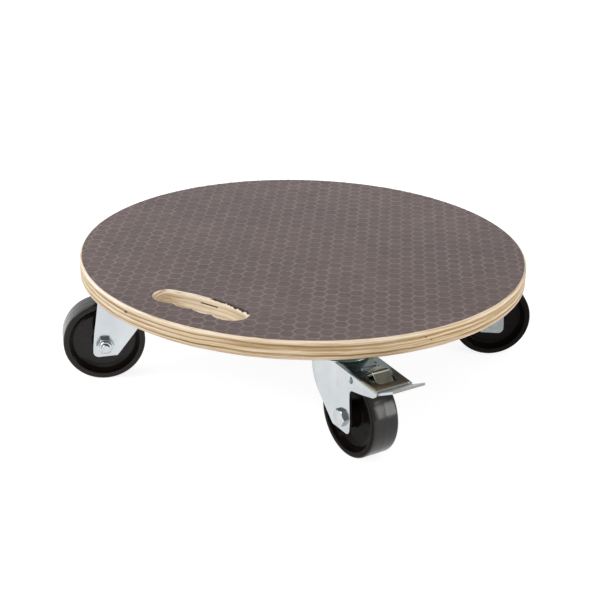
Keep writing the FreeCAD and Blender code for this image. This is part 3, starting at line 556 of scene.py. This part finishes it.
# ------------------------------------------------------------------ hand hole outline
HOLE_ARCS = [
    ((-45.1, -163.9), (-42.7, -172.3), (-36.7, -176.5)),
    ((-36.7, -176.5), (-28.3, -177.6), (-19.9, -174.1)),
    ((-19.9, -174.1), (-9.5, -177.0), (0.9, -174.1)),
    ((0.9, -174.1), (11.3, -177.0), (21.7, -174.1)),
    ((21.7, -174.1), (30.1, -177.6), (38.5, -176.3)),
    ((38.5, -176.3), (44.8, -171.9), (46.9, -164.4)),
    ((46.9, -164.4), (45.6, -159.1), (40.0, -155.7)),
    ((40.0, -155.7), (0.4, -150.7), (-38.2, -154.7)),
    ((-38.2, -154.7), (-43.5, -158.3), (-45.1, -163.9)),
]


def arc_points(a, m, b, step):
    ax, ay = a
    bx, by = m
    cx, cy = b
    d = 2 * (ax * (by - cy) + bx * (cy - ay) + cx * (ay - by))
    ux = ((ax * ax + ay * ay) * (by - cy) + (bx * bx + by * by) * (cy - ay) + (cx * cx + cy * cy) * (ay - by)) / d
    uy = ((ax * ax + ay * ay) * (cx - bx) + (bx * bx + by * by) * (ax - cx) + (cx * cx + cy * cy) * (bx - ax)) / d
    r = math.hypot(ax - ux, ay - uy)
    a0 = math.atan2(ay - uy, ax - ux)
    a1 = math.atan2(by - uy, bx - ux)
    a2 = math.atan2(cy - uy, cx - ux)

    def near(t, ref):
        while t - ref > math.pi:
            t -= 2 * math.pi
        while t - ref < -math.pi:
            t += 2 * math.pi
        return t
    a1 = near(a1, a0)
    a2 = near(a2, a1)
    n = max(3, int(round(abs(a2 - a0) * r / step)))
    out = []
    for i in range(n):
        t = a0 + (a2 - a0) * i / n
        out.append((ux + r * math.cos(t), uy + r * math.sin(t), math.cos(t), math.sin(t)))
    return out


def hole_base(step=0.45):
    pts = []
    for a, m, b in HOLE_ARCS:
        pts += arc_points(a, m, b, step)
    P = np.array(pts)
    # outward direction, blended a little across the joints between arcs
    n = P[:, 2:].copy()
    for _ in range(2):
        n = 0.25 * np.roll(n, 1, 0) + 0.5 * n + 0.25 * np.roll(n, -1, 0)
    n /= np.linalg.norm(n, axis=1)[:, None]
    return P[:, :2], n


HOLE_P, HOLE_N = hole_base()


def hole_loop(t, extra=None):
    """The outline grown by t mm (plus extra per point), with swallowed points drawn on to the cusps."""
    g = np.full(len(HOLE_P), float(t))
    if extra is not None:
        g = g + extra
    Q = HOLE_P + HOLE_N * g[:, None]
    if t <= 0:
        return Q
    d = np.linalg.norm(Q[:, None, :] - HOLE_P[None, :, :], axis=2).min(1)
    ok = d > g - 0.02 - 0.01 * g
    n = len(Q)
    idx = np.arange(n)
    good = idx[ok]
    out = Q.copy()
    for i in idx[~ok]:
        a = good[good < i]
        b = good[good > i]
        ia = a[-1] if len(a) else good[-1]
        ib = b[0] if len(b) else good[0]
        out[i] = 0.5 * (Q[ia] + Q[ib])
    return out


def smooth_noise(n, seed, cells):
    """Periodic value noise of n points with that many cells."""
    rs = np.random.RandomState(seed)
    v = rs.rand(cells)
    t = np.arange(n) / n * cells
    i = np.floor(t).astype(int)
    f = t - i
    f = f * f * (3 - 2 * f)
    return v[i % cells] * (1 - f) + v[(i + 1) % cells] * f


# ------------------------------------------------------------------ deck
def hexm(x, y):
    """Honeycomb metric of points in mm, numpy."""
    x = x - HEX_AT[0] / MM
    y = y - HEX_AT[1] / MM
    c, s = math.cos(-HEX_TURN), math.sin(-HEX_TURN)
    x, y = x * c - y * s, x * s + y * c
    w, h = PITCH / MM, PITCH / MM * math.sqrt(3)
    res, rr = [], []
    for off in (0.0, 0.5):
        ax = np.abs((x + w * (0.5 + off)) % w - w / 2)
        ay = np.abs((y + h * (0.5 + off)) % h - h / 2)
        res.append(np.maximum(ax, 0.5 * ax + math.sqrt(3) / 2 * ay))
        rr.append(np.hypot(ax, ay))
    res, rr = np.array(res), np.array(rr)
    k = res.argmin(0)
    m = np.take_along_axis(res, k[None], 0)[0]
    r = np.take_along_axis(rr, k[None], 0)[0]
    return np.maximum(m, r / 1.07)


def film_height(m):
    """Height in mm above the lowest point of the film's relief, from the honeycomb metric."""
    d = PITCH / MM / 2 - m

    def ss(v, a, b):
        t = np.clip((v - a) / (b - a), 0, 1)
        return t * t * (3 - 2 * t)
    return 0.20 - 0.20 * ss(d, 0.30, 1.15) + 0.07 * ss(d, 1.3, 4.2)


def inside(poly, x, y):
    res = np.zeros(len(x), bool)
    n = len(poly)
    for i in range(n):
        x0, y0 = poly[i]
        x1, y1 = poly[(i + 1) % n]
        c = (y0 > y) != (y1 > y)
        if y1 != y0:
            res ^= c & (x < (x1 - x0) * (y - y0) / (y1 - y0) + x0)
    return res


def dedupe(loop, tol=1e-3):
    out = [loop[0]]
    for p in loop[1:]:
        if np.hypot(*(p - out[-1])) > tol:
            out.append(p)
    if np.hypot(*(out[0] - out[-1])) < tol:
        out.pop()
    return np.array(out)


def flat_region(outer, hole, loops):
    """Triangles of the region between outer and hole, with extra loops embossed in it."""
    pts, edges = [], []
    for lp in [outer, hole] + loops:
        s, n = len(pts), len(lp)
        pts += [Vector((float(a), float(b))) for a, b in lp]
        edges += [(s + k, s + (k + 1) % n) for k in range(n)]
    r = delaunay_2d_cdt(pts, edges, [], 0, 1e-4)
    V2 = np.array([(v.x, v.y) for v in r[0]])
    F = np.array([f for f in r[2]])
    c = V2[F].mean(1)
    keep = inside(outer, c[:, 0], c[:, 1]) & ~inside(hole, c[:, 0], c[:, 1])
    return V2, F[keep]


def film_plate(name, z_show, z_back, outer, hole, loops, relief, mat, body):
    """A film sheet closed all round. Its shown face may carry the honeycomb relief."""
    V2, F = flat_region(outer, hole, loops)
    used = np.unique(F)
    remap = -np.ones(len(V2), int)
    remap[used] = np.arange(len(used))
    V2, F = V2[used], remap[F]
    up = z_show > z_back
    zs = np.full(len(V2), z_show, float)
    if relief:
        zs = zs - 0.20 + film_height(hexm(V2[:, 0], V2[:, 1]))
    verts = [(x * MM, y * MM, z * MM) for (x, y), z in zip(V2, zs)]
    a, b, c = V2[F[:, 0]], V2[F[:, 1]], V2[F[:, 2]]
    area = (b[:, 0] - a[:, 0]) * (c[:, 1] - a[:, 1]) - (b[:, 1] - a[:, 1]) * (c[:, 0] - a[:, 0])
    flip = area < 0
    F[flip] = F[flip][:, ::-1]
    count = {}
    for f in F:
        for i in range(3):
            e = (int(f[i]), int(f[(i + 1) % 3]))
            count[e] = count.get(e, 0) + 1
    border = [e for e in count if (e[1], e[0]) not in count]
    faces = [tuple(int(i) for i in (f if up else f[::-1])) for f in F]
    # side walls and back face: back ring follows the border
    back = {}
    for e in border:
        for i in e:
            if i not in back:
                back[i] = len(verts)
                verts.append((V2[i][0] * MM, V2[i][1] * MM, z_back * MM))
    for i, j in border:
        q = (j, i, back[i], back[j])
        faces.append(q if up else q[::-1])
    o = add_object(name, verts, faces, mat, body, auto=30.0)
    # back face over the same border
    bm = bmesh.new()
    bm.from_mesh(o.data)
    edges = [e for e in bm.edges if e.is_boundary]
    bmesh.ops.triangle_fill(bm, edges=edges, use_beauty=False, use_dissolve=False)
    bmesh.ops.recalc_face_normals(bm, faces=bm.faces)
    bm.to_mesh(o.data)
    bm.free()
    o.data.polygons.foreach_set("use_smooth", [True] * len(o.data.polygons))
    o.data.set_sharp_from_angle(angle=math.radians(30.0))
    return o


def build_deck():
    ply = ply_material("birch_plywood")
    film_t = film_material("phenolic_film_honeycomb", True)
    film_b = film_material("phenolic_film_smooth", False)
    n = 1440
    th = np.arange(n) / n * 2 * math.pi
    zc0, zc1 = DECK_BOT + FILM_T, DECK_TOP - FILM_T
    # --- rim, from the top flat round to the bottom flat
    prof = []
    for k in range(7):
        a = math.pi / 2 * k / 6
        prof.append((DECK_R - RIM_ROUND + RIM_ROUND * math.sin(a), zc1 - RIM_ROUND + RIM_ROUND * math.cos(a)))
    rows = 18
    for k in range(1, rows):
        prof.append((DECK_R, zc1 - RIM_ROUND - (zc1 - zc0 - 2 * RIM_ROUND) * k / rows))
    for k in range(7):
        a = math.pi / 2 * k / 6
        prof.append((DECK_R - RIM_ROUND + RIM_ROUND * math.cos(a), zc0 + RIM_ROUND - RIM_ROUND * math.sin(a)))
    rings = []
    rough = 0.05 * (smooth_noise(n, 11, 90) - 0.5) + 0.10 * (smooth_noise(n, 12, 17) - 0.5)
    for i, (r, z) in enumerate(prof):
        body = 1.0 if 0 < i < len(prof) - 1 else 0.0
        ply_off = 0.05 * math.sin(z * 2.1) * body
        rr = r - 0.06 * body + (rough * 0.8 + ply_off) * body
        rr = np.minimum(rr, DECK_R)
        for (va, vz, vr) in VOIDS:
            da = (th - math.radians(va) + math.pi) % (2 * math.pi) - math.pi
            q = (da * DECK_R / (vr * 1.2)) ** 2 + ((z - vz) / (vr * 0.8)) ** 2
            rr = rr - body * 1.3 * vr * np.exp(-q * q)
        rings.append([(a, b, z) for a, b in zip(rr * np.cos(th), rr * np.sin(th))])
    v1, f1 = rings_to_mesh(rings)
    # --- hand hole, rounded over top and bottom
    hp = []
    for k in range(7):
        a = math.pi / 2 * k / 6
        hp.append((HOLE_ROUND * (1 - math.sin(a)), zc1 - HOLE_ROUND + HOLE_ROUND * math.cos(a)))
    groove = [DECK_TOP - GAP_DEPTH + q for q in (0.55, 0.38, 0.14, -0.14, -0.38, -0.55)]
    walls = [zc1 - HOLE_ROUND - (zc1 - zc0 - 2 * HOLE_ROUND) * k / 12 for k in range(1, 12)]
    walls = [z for z in walls if min(abs(z - g) for g in groove) > 0.2] + groove
    for z in sorted(walls, reverse=True):
        hp.append((0.0, z))
    for k in range(7):
        a = math.pi / 2 * k / 6
        hp.append((HOLE_ROUND * (1 - math.cos(a)), zc0 + HOLE_ROUND - HOLE_ROUND * math.sin(a)))
    hn = len(HOLE_P)
    hr = []
    for i, (t, z) in enumerate(hp):
        body = 1.0 if 0 < i < len(hp) - 1 else 0.0
        L = hole_loop(t)
        wob = (0.16 * (smooth_noise(hn, 31, 40) - 0.5) + 0.05 * math.sin(z * 1.9)) * body
        if t == 0:
            # an open glue line cut along the outer wall
            deep = 1.1 * max(0.0, 1.0 - (abs(z - DECK_TOP + GAP_DEPTH) / 0.5) ** 4)
            along = np.clip((9.6 - np.abs(HOLE_P[:, 0])) / 1.2, 0, 1) * (HOLE_P[:, 1] > -160.0)
            L = HOLE_P + HOLE_N * (np.zeros(hn) + wob + deep * along)[:, None]
        hr.append([(p[0], p[1], z) for p in L])
    v2, f2 = rings_to_mesh(hr)
    verts = v1 + v2
    faces = f1 + [tuple(i + len(v1) for i in f) for f in f2]
    # --- top and bottom flats under the films
    for ring_a, ring_b, z in ((rings[0], hr[0], zc1), (rings[-1], hr[-1], zc0)):
        outer = np.array([p[:2] for p in ring_a])
        hole = dedupe(np.array([p[:2] for p in ring_b]), 1e-4)
        V2, F = flat_region(outer, hole, [])
        s = len(verts)
        verts += [(p[0], p[1], z) for p in V2]
        faces += [tuple(int(i) + s for i in f) for f in F]
    verts = [(x * MM, y * MM, z * MM) for x, y, z in verts]
    core = add_object("deck_plywood", verts, faces, ply, "deck")
    fix_normals(core)
    bm = bmesh.new()
    bm.from_mesh(core.data)
    bmesh.ops.remove_doubles(bm, verts=bm.verts, dist=3e-6)
    bmesh.ops.dissolve_degenerate(bm, edges=bm.edges, dist=1e-6)
    bmesh.ops.recalc_face_normals(bm, faces=bm.faces)
    bm.to_mesh(core.data)
    bm.free()
    core.data.polygons.foreach_set("use_smooth", [True] * len(core.data.polygons))
    core.data.set_sharp_from_angle(angle=math.radians(38.0))
    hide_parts("deck_core")

    # --- films
    edge = DECK_R - RIM_ROUND - 0.25 + 0.35 * (smooth_noise(n, 5, 160) - 0.5) * smooth_noise(n, 6, 23)
    outer = np.stack([edge * np.cos(th), edge * np.sin(th)], 1)
    hx = HOLE_P[:, 0]
    ragged = 0.5 * (smooth_noise(hn, 8, 170) - 0.5) + 0.35 * (smooth_noise(hn, 9, 60) - 0.5)
    inner_side = (HOLE_P[:, 1] > -157.0) & (hx > 0.5) & (hx < 44.0)
    tear = np.where(inner_side, 0.9 * smooth_noise(hn, 14, 90) + 0.5 * (smooth_noise(hn, 15, 200) > 0.55), 0.0)
    hole = dedupe(hole_loop(HOLE_ROUND + 0.15, ragged * 0.5 + tear), 0.02)
    loops = []
    h = PITCH / MM / 2
    c, s = math.cos(HEX_TURN), math.sin(HEX_TURN)
    m = 24
    for j in range(-22, 23):
        for i in range(-20, 21):
            a = PITCH / MM * (i + 0.5 * (j % 2))
            b = PITCH / MM * math.sqrt(3) / 2 * j
            cx = HEX_AT[0] / MM + a * c - b * s
            cy = HEX_AT[1] / MM + a * s + b * c
            if math.hypot(cx, cy) > 216.5:
                continue
            for d in (0.30, 0.72, 1.15, 2.6, 4.3):
                lp = []
                for k in range(m):
                    t = 2 * math.pi * k / m
                    w = (t + math.pi / 6) % (math.pi / 3) - math.pi / 6
                    r = (h - d) / max(math.cos(w), 1 / 1.07)
                    lp.append((cx + r * math.cos(t + HEX_TURN), cy + r * math.sin(t + HEX_TURN)))
                L = np.array(lp)
                far = np.hypot(L[:, 0], L[:, 1])
                if far.min() > DECK_R:
                    continue
                loops.append(L)
    top = film_plate("deck_film_honeycomb", DECK_TOP, DECK_TOP - FILM_T, outer, hole, loops, True, film_t, "deck")
    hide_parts("deck_film_top")
    hole_b = dedupe(hole_loop(HOLE_ROUND + 0.15, ragged * 0.5), 0.02)
    bot = film_plate("deck_film_smooth", DECK_BOT, DECK_BOT + FILM_T, outer, hole_b, [], False, film_b, "deck")
    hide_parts("deck_film_bottom")


# ------------------------------------------------------------------ wheels
def fillet_profile(pts, seg=4):
    """Polyline of (r, s, radius) with its corners rounded."""
    out = []
    n = len(pts)
    for i in range(n):
        p = np.array(pts[i][:2], float)
        rad = pts[i][2]
        a = np.array(pts[i - 1][:2], float)
        b = np.array(pts[(i + 1) % n][:2], float)
        if rad <= 0:
            out.append(tuple(p))
            continue
        d1 = (a - p) / np.linalg.norm(a - p)
        d2 = (b - p) / np.linalg.norm(b - p)
        ang = math.acos(float(np.clip(np.dot(d1, d2), -1, 1)))
        t = rad / math.tan(ang / 2)
        t = min(t, 0.48 * np.linalg.norm(a - p), 0.48 * np.linalg.norm(b - p))
        rad = t * math.tan(ang / 2)
        bis = (d1 + d2) / np.linalg.norm(d1 + d2)
        cen = p + bis * rad / math.sin(ang / 2)
        s0 = p + d1 * t - cen
        s1 = p + d2 * t - cen
        a0 = math.atan2(s0[1], s0[0])
        a1 = math.atan2(s1[1], s1[0])
        while a1 - a0 > math.pi:
            a1 -= 2 * math.pi
        while a1 - a0 < -math.pi:
            a1 += 2 * math.pi
        for k in range(seg + 1):
            q = a0 + (a1 - a0) * k / seg
            out.append((cen[0] + rad * math.cos(q), cen[1] + rad * math.sin(q)))
    return out


def wheel_profile():
    h = 13.0
    half = [
        (6.06, 15.0, 0.35), (10.6, 15.0, 0.5), (11.5, 6.0, 1.1), (13.2, 5.2, 0.8), (25.2, 5.2, 2.2), (29.0, 6.4, 3.0), (31.6, 9.8, 2.2),
        (32.8, h, 0.55), (38.2, h, 2.0),
    ]
    tread = [(38.19, 6.0, 2.0), (38.19, 0.20, 0.05), (38.25, 0.11, 0.0), (38.25, -0.11, 0.0), (38.19, -0.20, 0.05), (38.19, -6.0, 2.0)]
    other = [(r, -s, f) for r, s, f in reversed(half)]
    return fillet_profile(half + tread + other)


def build_wheel(tag, mat):
    prof = wheel_profile()
    seg = 144
    rings = []
    for k in range(seg):
        a = 2 * math.pi * k / seg
        rings.append([(OFFSET + r * math.cos(a), s, WHEEL_R + r * math.sin(a)) for r, s in prof])
    v, f = rings_to_mesh(rings, closed_u=True, closed_v=True)
    # round injection gate and four ejector marks on each web
    spots = []
    for side in (-1, 1):
        for j, (rr, aa, rad, hh) in enumerate(((18.6, 200.0, 2.6, 0.25), (20.5, 20.0, 1.5, -0.2), (20.5, 110.0, 1.5, -0.2), (20.5, 290.0, 1.5, -0.2))):
            spots.append((side, rr, math.radians(aa + (0 if side > 0 else 35)), rad, hh))
    for side, rr, aa, rad, hh in spots:
        cx, cz = OFFSET + rr * math.cos(aa), WHEEL_R + rr * math.sin(aa)
        s0 = side * 5.2
        pr = [(0.02, 0.22), (rad - 0.35, 0.22), (rad - 0.1, 0.12), (rad, -0.3)] if hh > 0 else [(0.02, 0.06), (rad - 0.45, 0.06), (rad - 0.25, 0.20), (rad - 0.1, 0.20), (rad, -0.3)]
        rr_ = []
        for q, e in pr:
            rr_.append([(cx + q * math.cos(2 * math.pi * k / 28), s0 + side * e, cz + q * math.sin(2 * math.pi * k / 28)) for k in range(28)])
        rr_.append([(cx + 0.02 * math.cos(2 * math.pi * k / 28), s0 - side * 0.3, cz + 0.02 * math.sin(2 * math.pi * k / 28)) for k in range(28)])
        v3, f3 = rings_to_mesh(rr_)
        s = len(v)
        f3 = [tuple(i + s for i in q) for q in f3]
        f3.append(tuple(s + i for i in range(28)))
        f3.append(tuple(s + (len(rr_) - 1) * 28 + i for i in range(28)))
        v += v3
        f += f3
    v = [(x * MM, y * MM, z * MM) for x, y, z in v]
    me = bpy.data.meshes.new("wheel_mesh_" + tag)
    me.from_pydata(v, [], f)
    me.validate()
    o = bpy.data.objects.new("moulded_wheel_" + tag, me)
    bpy.context.scene.collection.objects.link(o)
    me.materials.append(mat)
    fix_normals(o)
    me.polygons.foreach_set("use_smooth", [True] * len(me.polygons))
    me.set_sharp_from_angle(angle=math.radians(42.0))
    o.matrix_world = place_matrix(tag)
    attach(o, "roller_" + tag)
    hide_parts("wheel_" + tag)
    return o


# ------------------------------------------------------------------ casters
def build_casters():
    for i, tag in enumerate(CASTERS):
        braked = CASTERS[tag][2]
        rear = tag[0] == "r"
        # painted reflection colours for the fork's upward faces, and the range of normal z they cover
        painted_top_reflection = ((0.27, 0.35, 0.345, 1), (0.31, 0.31, 0.25, 1), 0.28, 0.52)
        # the rear pair's plating is painted darker as painted shade under the deck
        tint = (0.27, 0.30, 0.30, 1) if rear else (0.57, 0.60, 0.615, 1)
        dark = (0.22, 0.25, 0.25, 1) if rear else (0.50, 0.53, 0.55, 1)
        tr = math.radians(CASTERS[tag][1])
        axis = (-math.sin(tr), math.cos(tr), 0.0)
        ka = math.radians(CASTERS[tag][0])
        pivot = (KINGPIN_R * MM * math.cos(ka), KINGPIN_R * MM * math.sin(ka))
        zinc = zinc_material("zinc_steel_" + tag, 1.0 + 2.3 * i, pivot, tint, dark, painted_top_reflection=painted_top_reflection)
        plate = zinc_material("zinc_plate_" + tag, 7.0 + 1.7 * i, None, tint, dark, rough=0.26, spots=0.6)
        nut = steel_material("fastener_steel_" + tag, 3.0 + i, (0.60, 0.63, 0.64, 1), 0.15)
        # the rear axle steel is painted darker as painted shade
        hexed = steel_material("axle_steel_" + tag, 4.0 + i, (0.30, 0.33, 0.33, 1) if rear else (0.60, 0.63, 0.64, 1), 0.15, axis)
        race = steel_material("bearing_steel_" + tag, 5.0 + i, (0.56, 0.55, 0.53, 1), 0.2)
        # the fr and rear wheels take a darker base colour as painted shade
        plastic = plastic_material("black_plastic_" + tag, 2.0 + 1.9 * i, *{"fl": (0.26, 0.40, 1.0), "fr": (0.05, 0.38, 0.8)}.get(tag, (0.06, 0.10, 0.7)))
        soften("fork_" + tag, zinc, 0.45, 3)
        soften("top_plate_" + tag, plate, 0.4, 2)
        soften("kingpin_" + tag, nut, 0.3, 2)
        soften("lower_race_" + tag, race, 0.2, 2)
        soften("upper_balls_" + tag, race, 0)
        soften("lower_balls_" + tag, race, 0)
        soften("mounting_screws_" + tag, nut, 0.15, 2)
        soften("axle_bolt_" + tag, hexed, 0.3, 2)
        soften("axle_nut_" + tag, hexed, 0.25, 2)
        soften("axle_tube_" + tag, race, 0.15, 1)
        soften("axle_washers_" + tag, nut, 0.25, 2)
        if braked:
            # the pedal's upward faces are painted pale as painted reflection, its rear faces painted dark as painted
            # shade
            lever = zinc_material("brake_steel_" + tag, 11.0 + i, None, tint, dark, rough=0.18, painted_top_reflection=((0.58, 0.62, 0.58, 1), (0.66, 0.68, 0.63, 1), 0.45, 0.80), rear_face_painted_shade=(CASTERS[tag][1], (0.20, 0.205, 0.20, 1)))
            spring = spring_material("spring_steel_" + tag, 13.0 + i, axis)
            # the pin's dark steel colour is painted shade of the recess round its end
            pin = steel_material("pin_steel_" + tag, 17.0 + i, (0.17, 0.20, 0.205, 1), 0.2)
            soften("brake_pedal_" + tag, lever, 0.4, 3)
            soften("brake_spring_" + tag, spring, 0.25, 2)
            soften("brake_pin_" + tag, pin, 0.25, 2)
        build_wheel(tag, plastic)


# ------------------------------------------------------------------ studio
def area(name, az, el, dist, w, h, radiance, color=(1, 1, 1), target=(0, 0, 0.08)):
    d = bpy.data.lights.new(name, "AREA")
    d.shape = "RECTANGLE"
    d.size, d.size_y = w, h
    d.energy = radiance * math.pi * w * h
    d.color = color
    o = bpy.data.objects.new(name, d)
    bpy.context.scene.collection.objects.link(o)
    a, e = math.radians(az), math.radians(el)
    t = Vector(target)
    o.location = t + Vector((math.cos(a) * math.cos(e), math.sin(a) * math.cos(e), math.sin(e))) * dist
    o.rotation_euler = (o.location - t).to_track_quat("Z", "Y").to_euler()
    return o


def build_studio():
    sc = bpy.context.scene
    w = bpy.data.worlds.new("studio")
    sc.world = w
    w.use_nodes = True
    nt = w.node_tree
    nt.nodes.clear()
    out = nt.nodes.new("ShaderNodeOutputWorld")
    bg = nt.nodes.new("ShaderNodeBackground")
    tc = nt.nodes.new("ShaderNodeTexCoord")
    sx = nt.nodes.new("ShaderNodeSeparateXYZ")
    rp = nt.nodes.new("ShaderNodeValToRGB")
    nt.links.new(tc.outputs["Generated"], sx.inputs[0])
    nt.links.new(sx.outputs[2], rp.inputs[0])
    rp.color_ramp.elements[0].position = 0.0
    rp.color_ramp.elements[0].color = (0.98, 0.985, 1.0, 1)
    rp.color_ramp.elements[1].position = 1.0
    rp.color_ramp.elements[1].color = (0.72, 0.74, 0.77, 1)
    # the studio is brighter on one side
    dt = nt.nodes.new("ShaderNodeVectorMath")
    dt.operation = "DOT_PRODUCT"
    dt.inputs[1].default_value = (-0.95, -0.30, 0.0)
    nt.links.new(tc.outputs["Generated"], dt.inputs[0])
    mr = nt.nodes.new("ShaderNodeMapRange")
    mr.interpolation_type = "SMOOTHSTEP"
    mr.inputs["From Min"].default_value = -0.9
    mr.inputs["From Max"].default_value = 0.8
    mr.inputs["To Min"].default_value = 0.56
    mr.inputs["To Max"].default_value = 1.12
    nt.links.new(dt.outputs["Value"], mr.inputs["Value"])
    nt.links.new(rp.outputs[0], bg.inputs[0])
    nt.links.new(mr.outputs[0], bg.inputs[1])
    nt.links.new(bg.outputs[0], out.inputs[0])
    area("key", -128.0, 42.0, 2.3, 1.5, 1.5, 2.9, (1.0, 0.985, 0.96))
    area("fill", -48.0, 30.0, 2.6, 1.2, 1.2, 0.5)
    area("side", -165.0, 18.0, 2.4, 1.1, 1.1, 1.6, (0.74, 0.90, 1.0))
    area("pane", 14.5, 14.5, 1.5, 0.46, 0.76, 6.6, (0.98, 0.98, 0.96), target=(0.17, -0.14, 0.05))
    # floor
    m = Mat("floor_pale")
    n = m.noise(m.obj, 3.0, 2.0)
    col = m.mix(n, (0.40, 0.40, 0.40, 1), (0.44, 0.44, 0.44, 1))
    diff = m.new("ShaderNodeBsdfDiffuse")
    m.put(diff.inputs[0], col)
    em = m.new("ShaderNodeEmission")
    em.inputs[0].default_value = (1, 1, 1, 1)
    em.inputs[1].default_value = 0.84
    add = m.new("ShaderNodeAddShader")
    m.nt.links.new(diff.outputs[0], add.inputs[0])
    m.nt.links.new(em.outputs[0], add.inputs[1])
    m.nt.links.new(add.outputs[0], m.out.inputs[0])
    me = bpy.data.meshes.new("floor")
    s = 9.0
    me.from_pydata([(-s, -s, -0.0002), (s, -s, -0.0002), (s, s, -0.0002), (-s, s, -0.0002)], [], [(0, 1, 2, 3)])
    fl = bpy.data.objects.new("floor", me)
    sc.collection.objects.link(fl)
    me.materials.append(m.mat)
    # camera
    cd = bpy.data.cameras.new("camera")
    cam = bpy.data.objects.new("camera", cd)
    sc.collection.objects.link(cam)
    cam.matrix_world = Matrix(((0.8388107, -0.2318707, 0.4925775, 0.6814225), (0.5438553, 0.3155615, -0.7775875, -1.079263), (0.0248613, 0.9201396, 0.3908005, 0.6049718), (0, 0, 0, 1)))
    cd.sensor_width = 36.0
    cd.sensor_fit = "HORIZONTAL"
    cd.lens = 86.4
    cd.clip_start = 0.05
    cd.clip_end = 60.0
    cd.dof.use_dof = False
    sc.camera = cam
    sc.view_settings.view_transform = "Standard"
    sc.view_settings.look = "None"
    sc.view_settings.exposure = 0.0
    sc.view_settings.gamma = 1.0


build_deck()
build_casters()
build_studio()
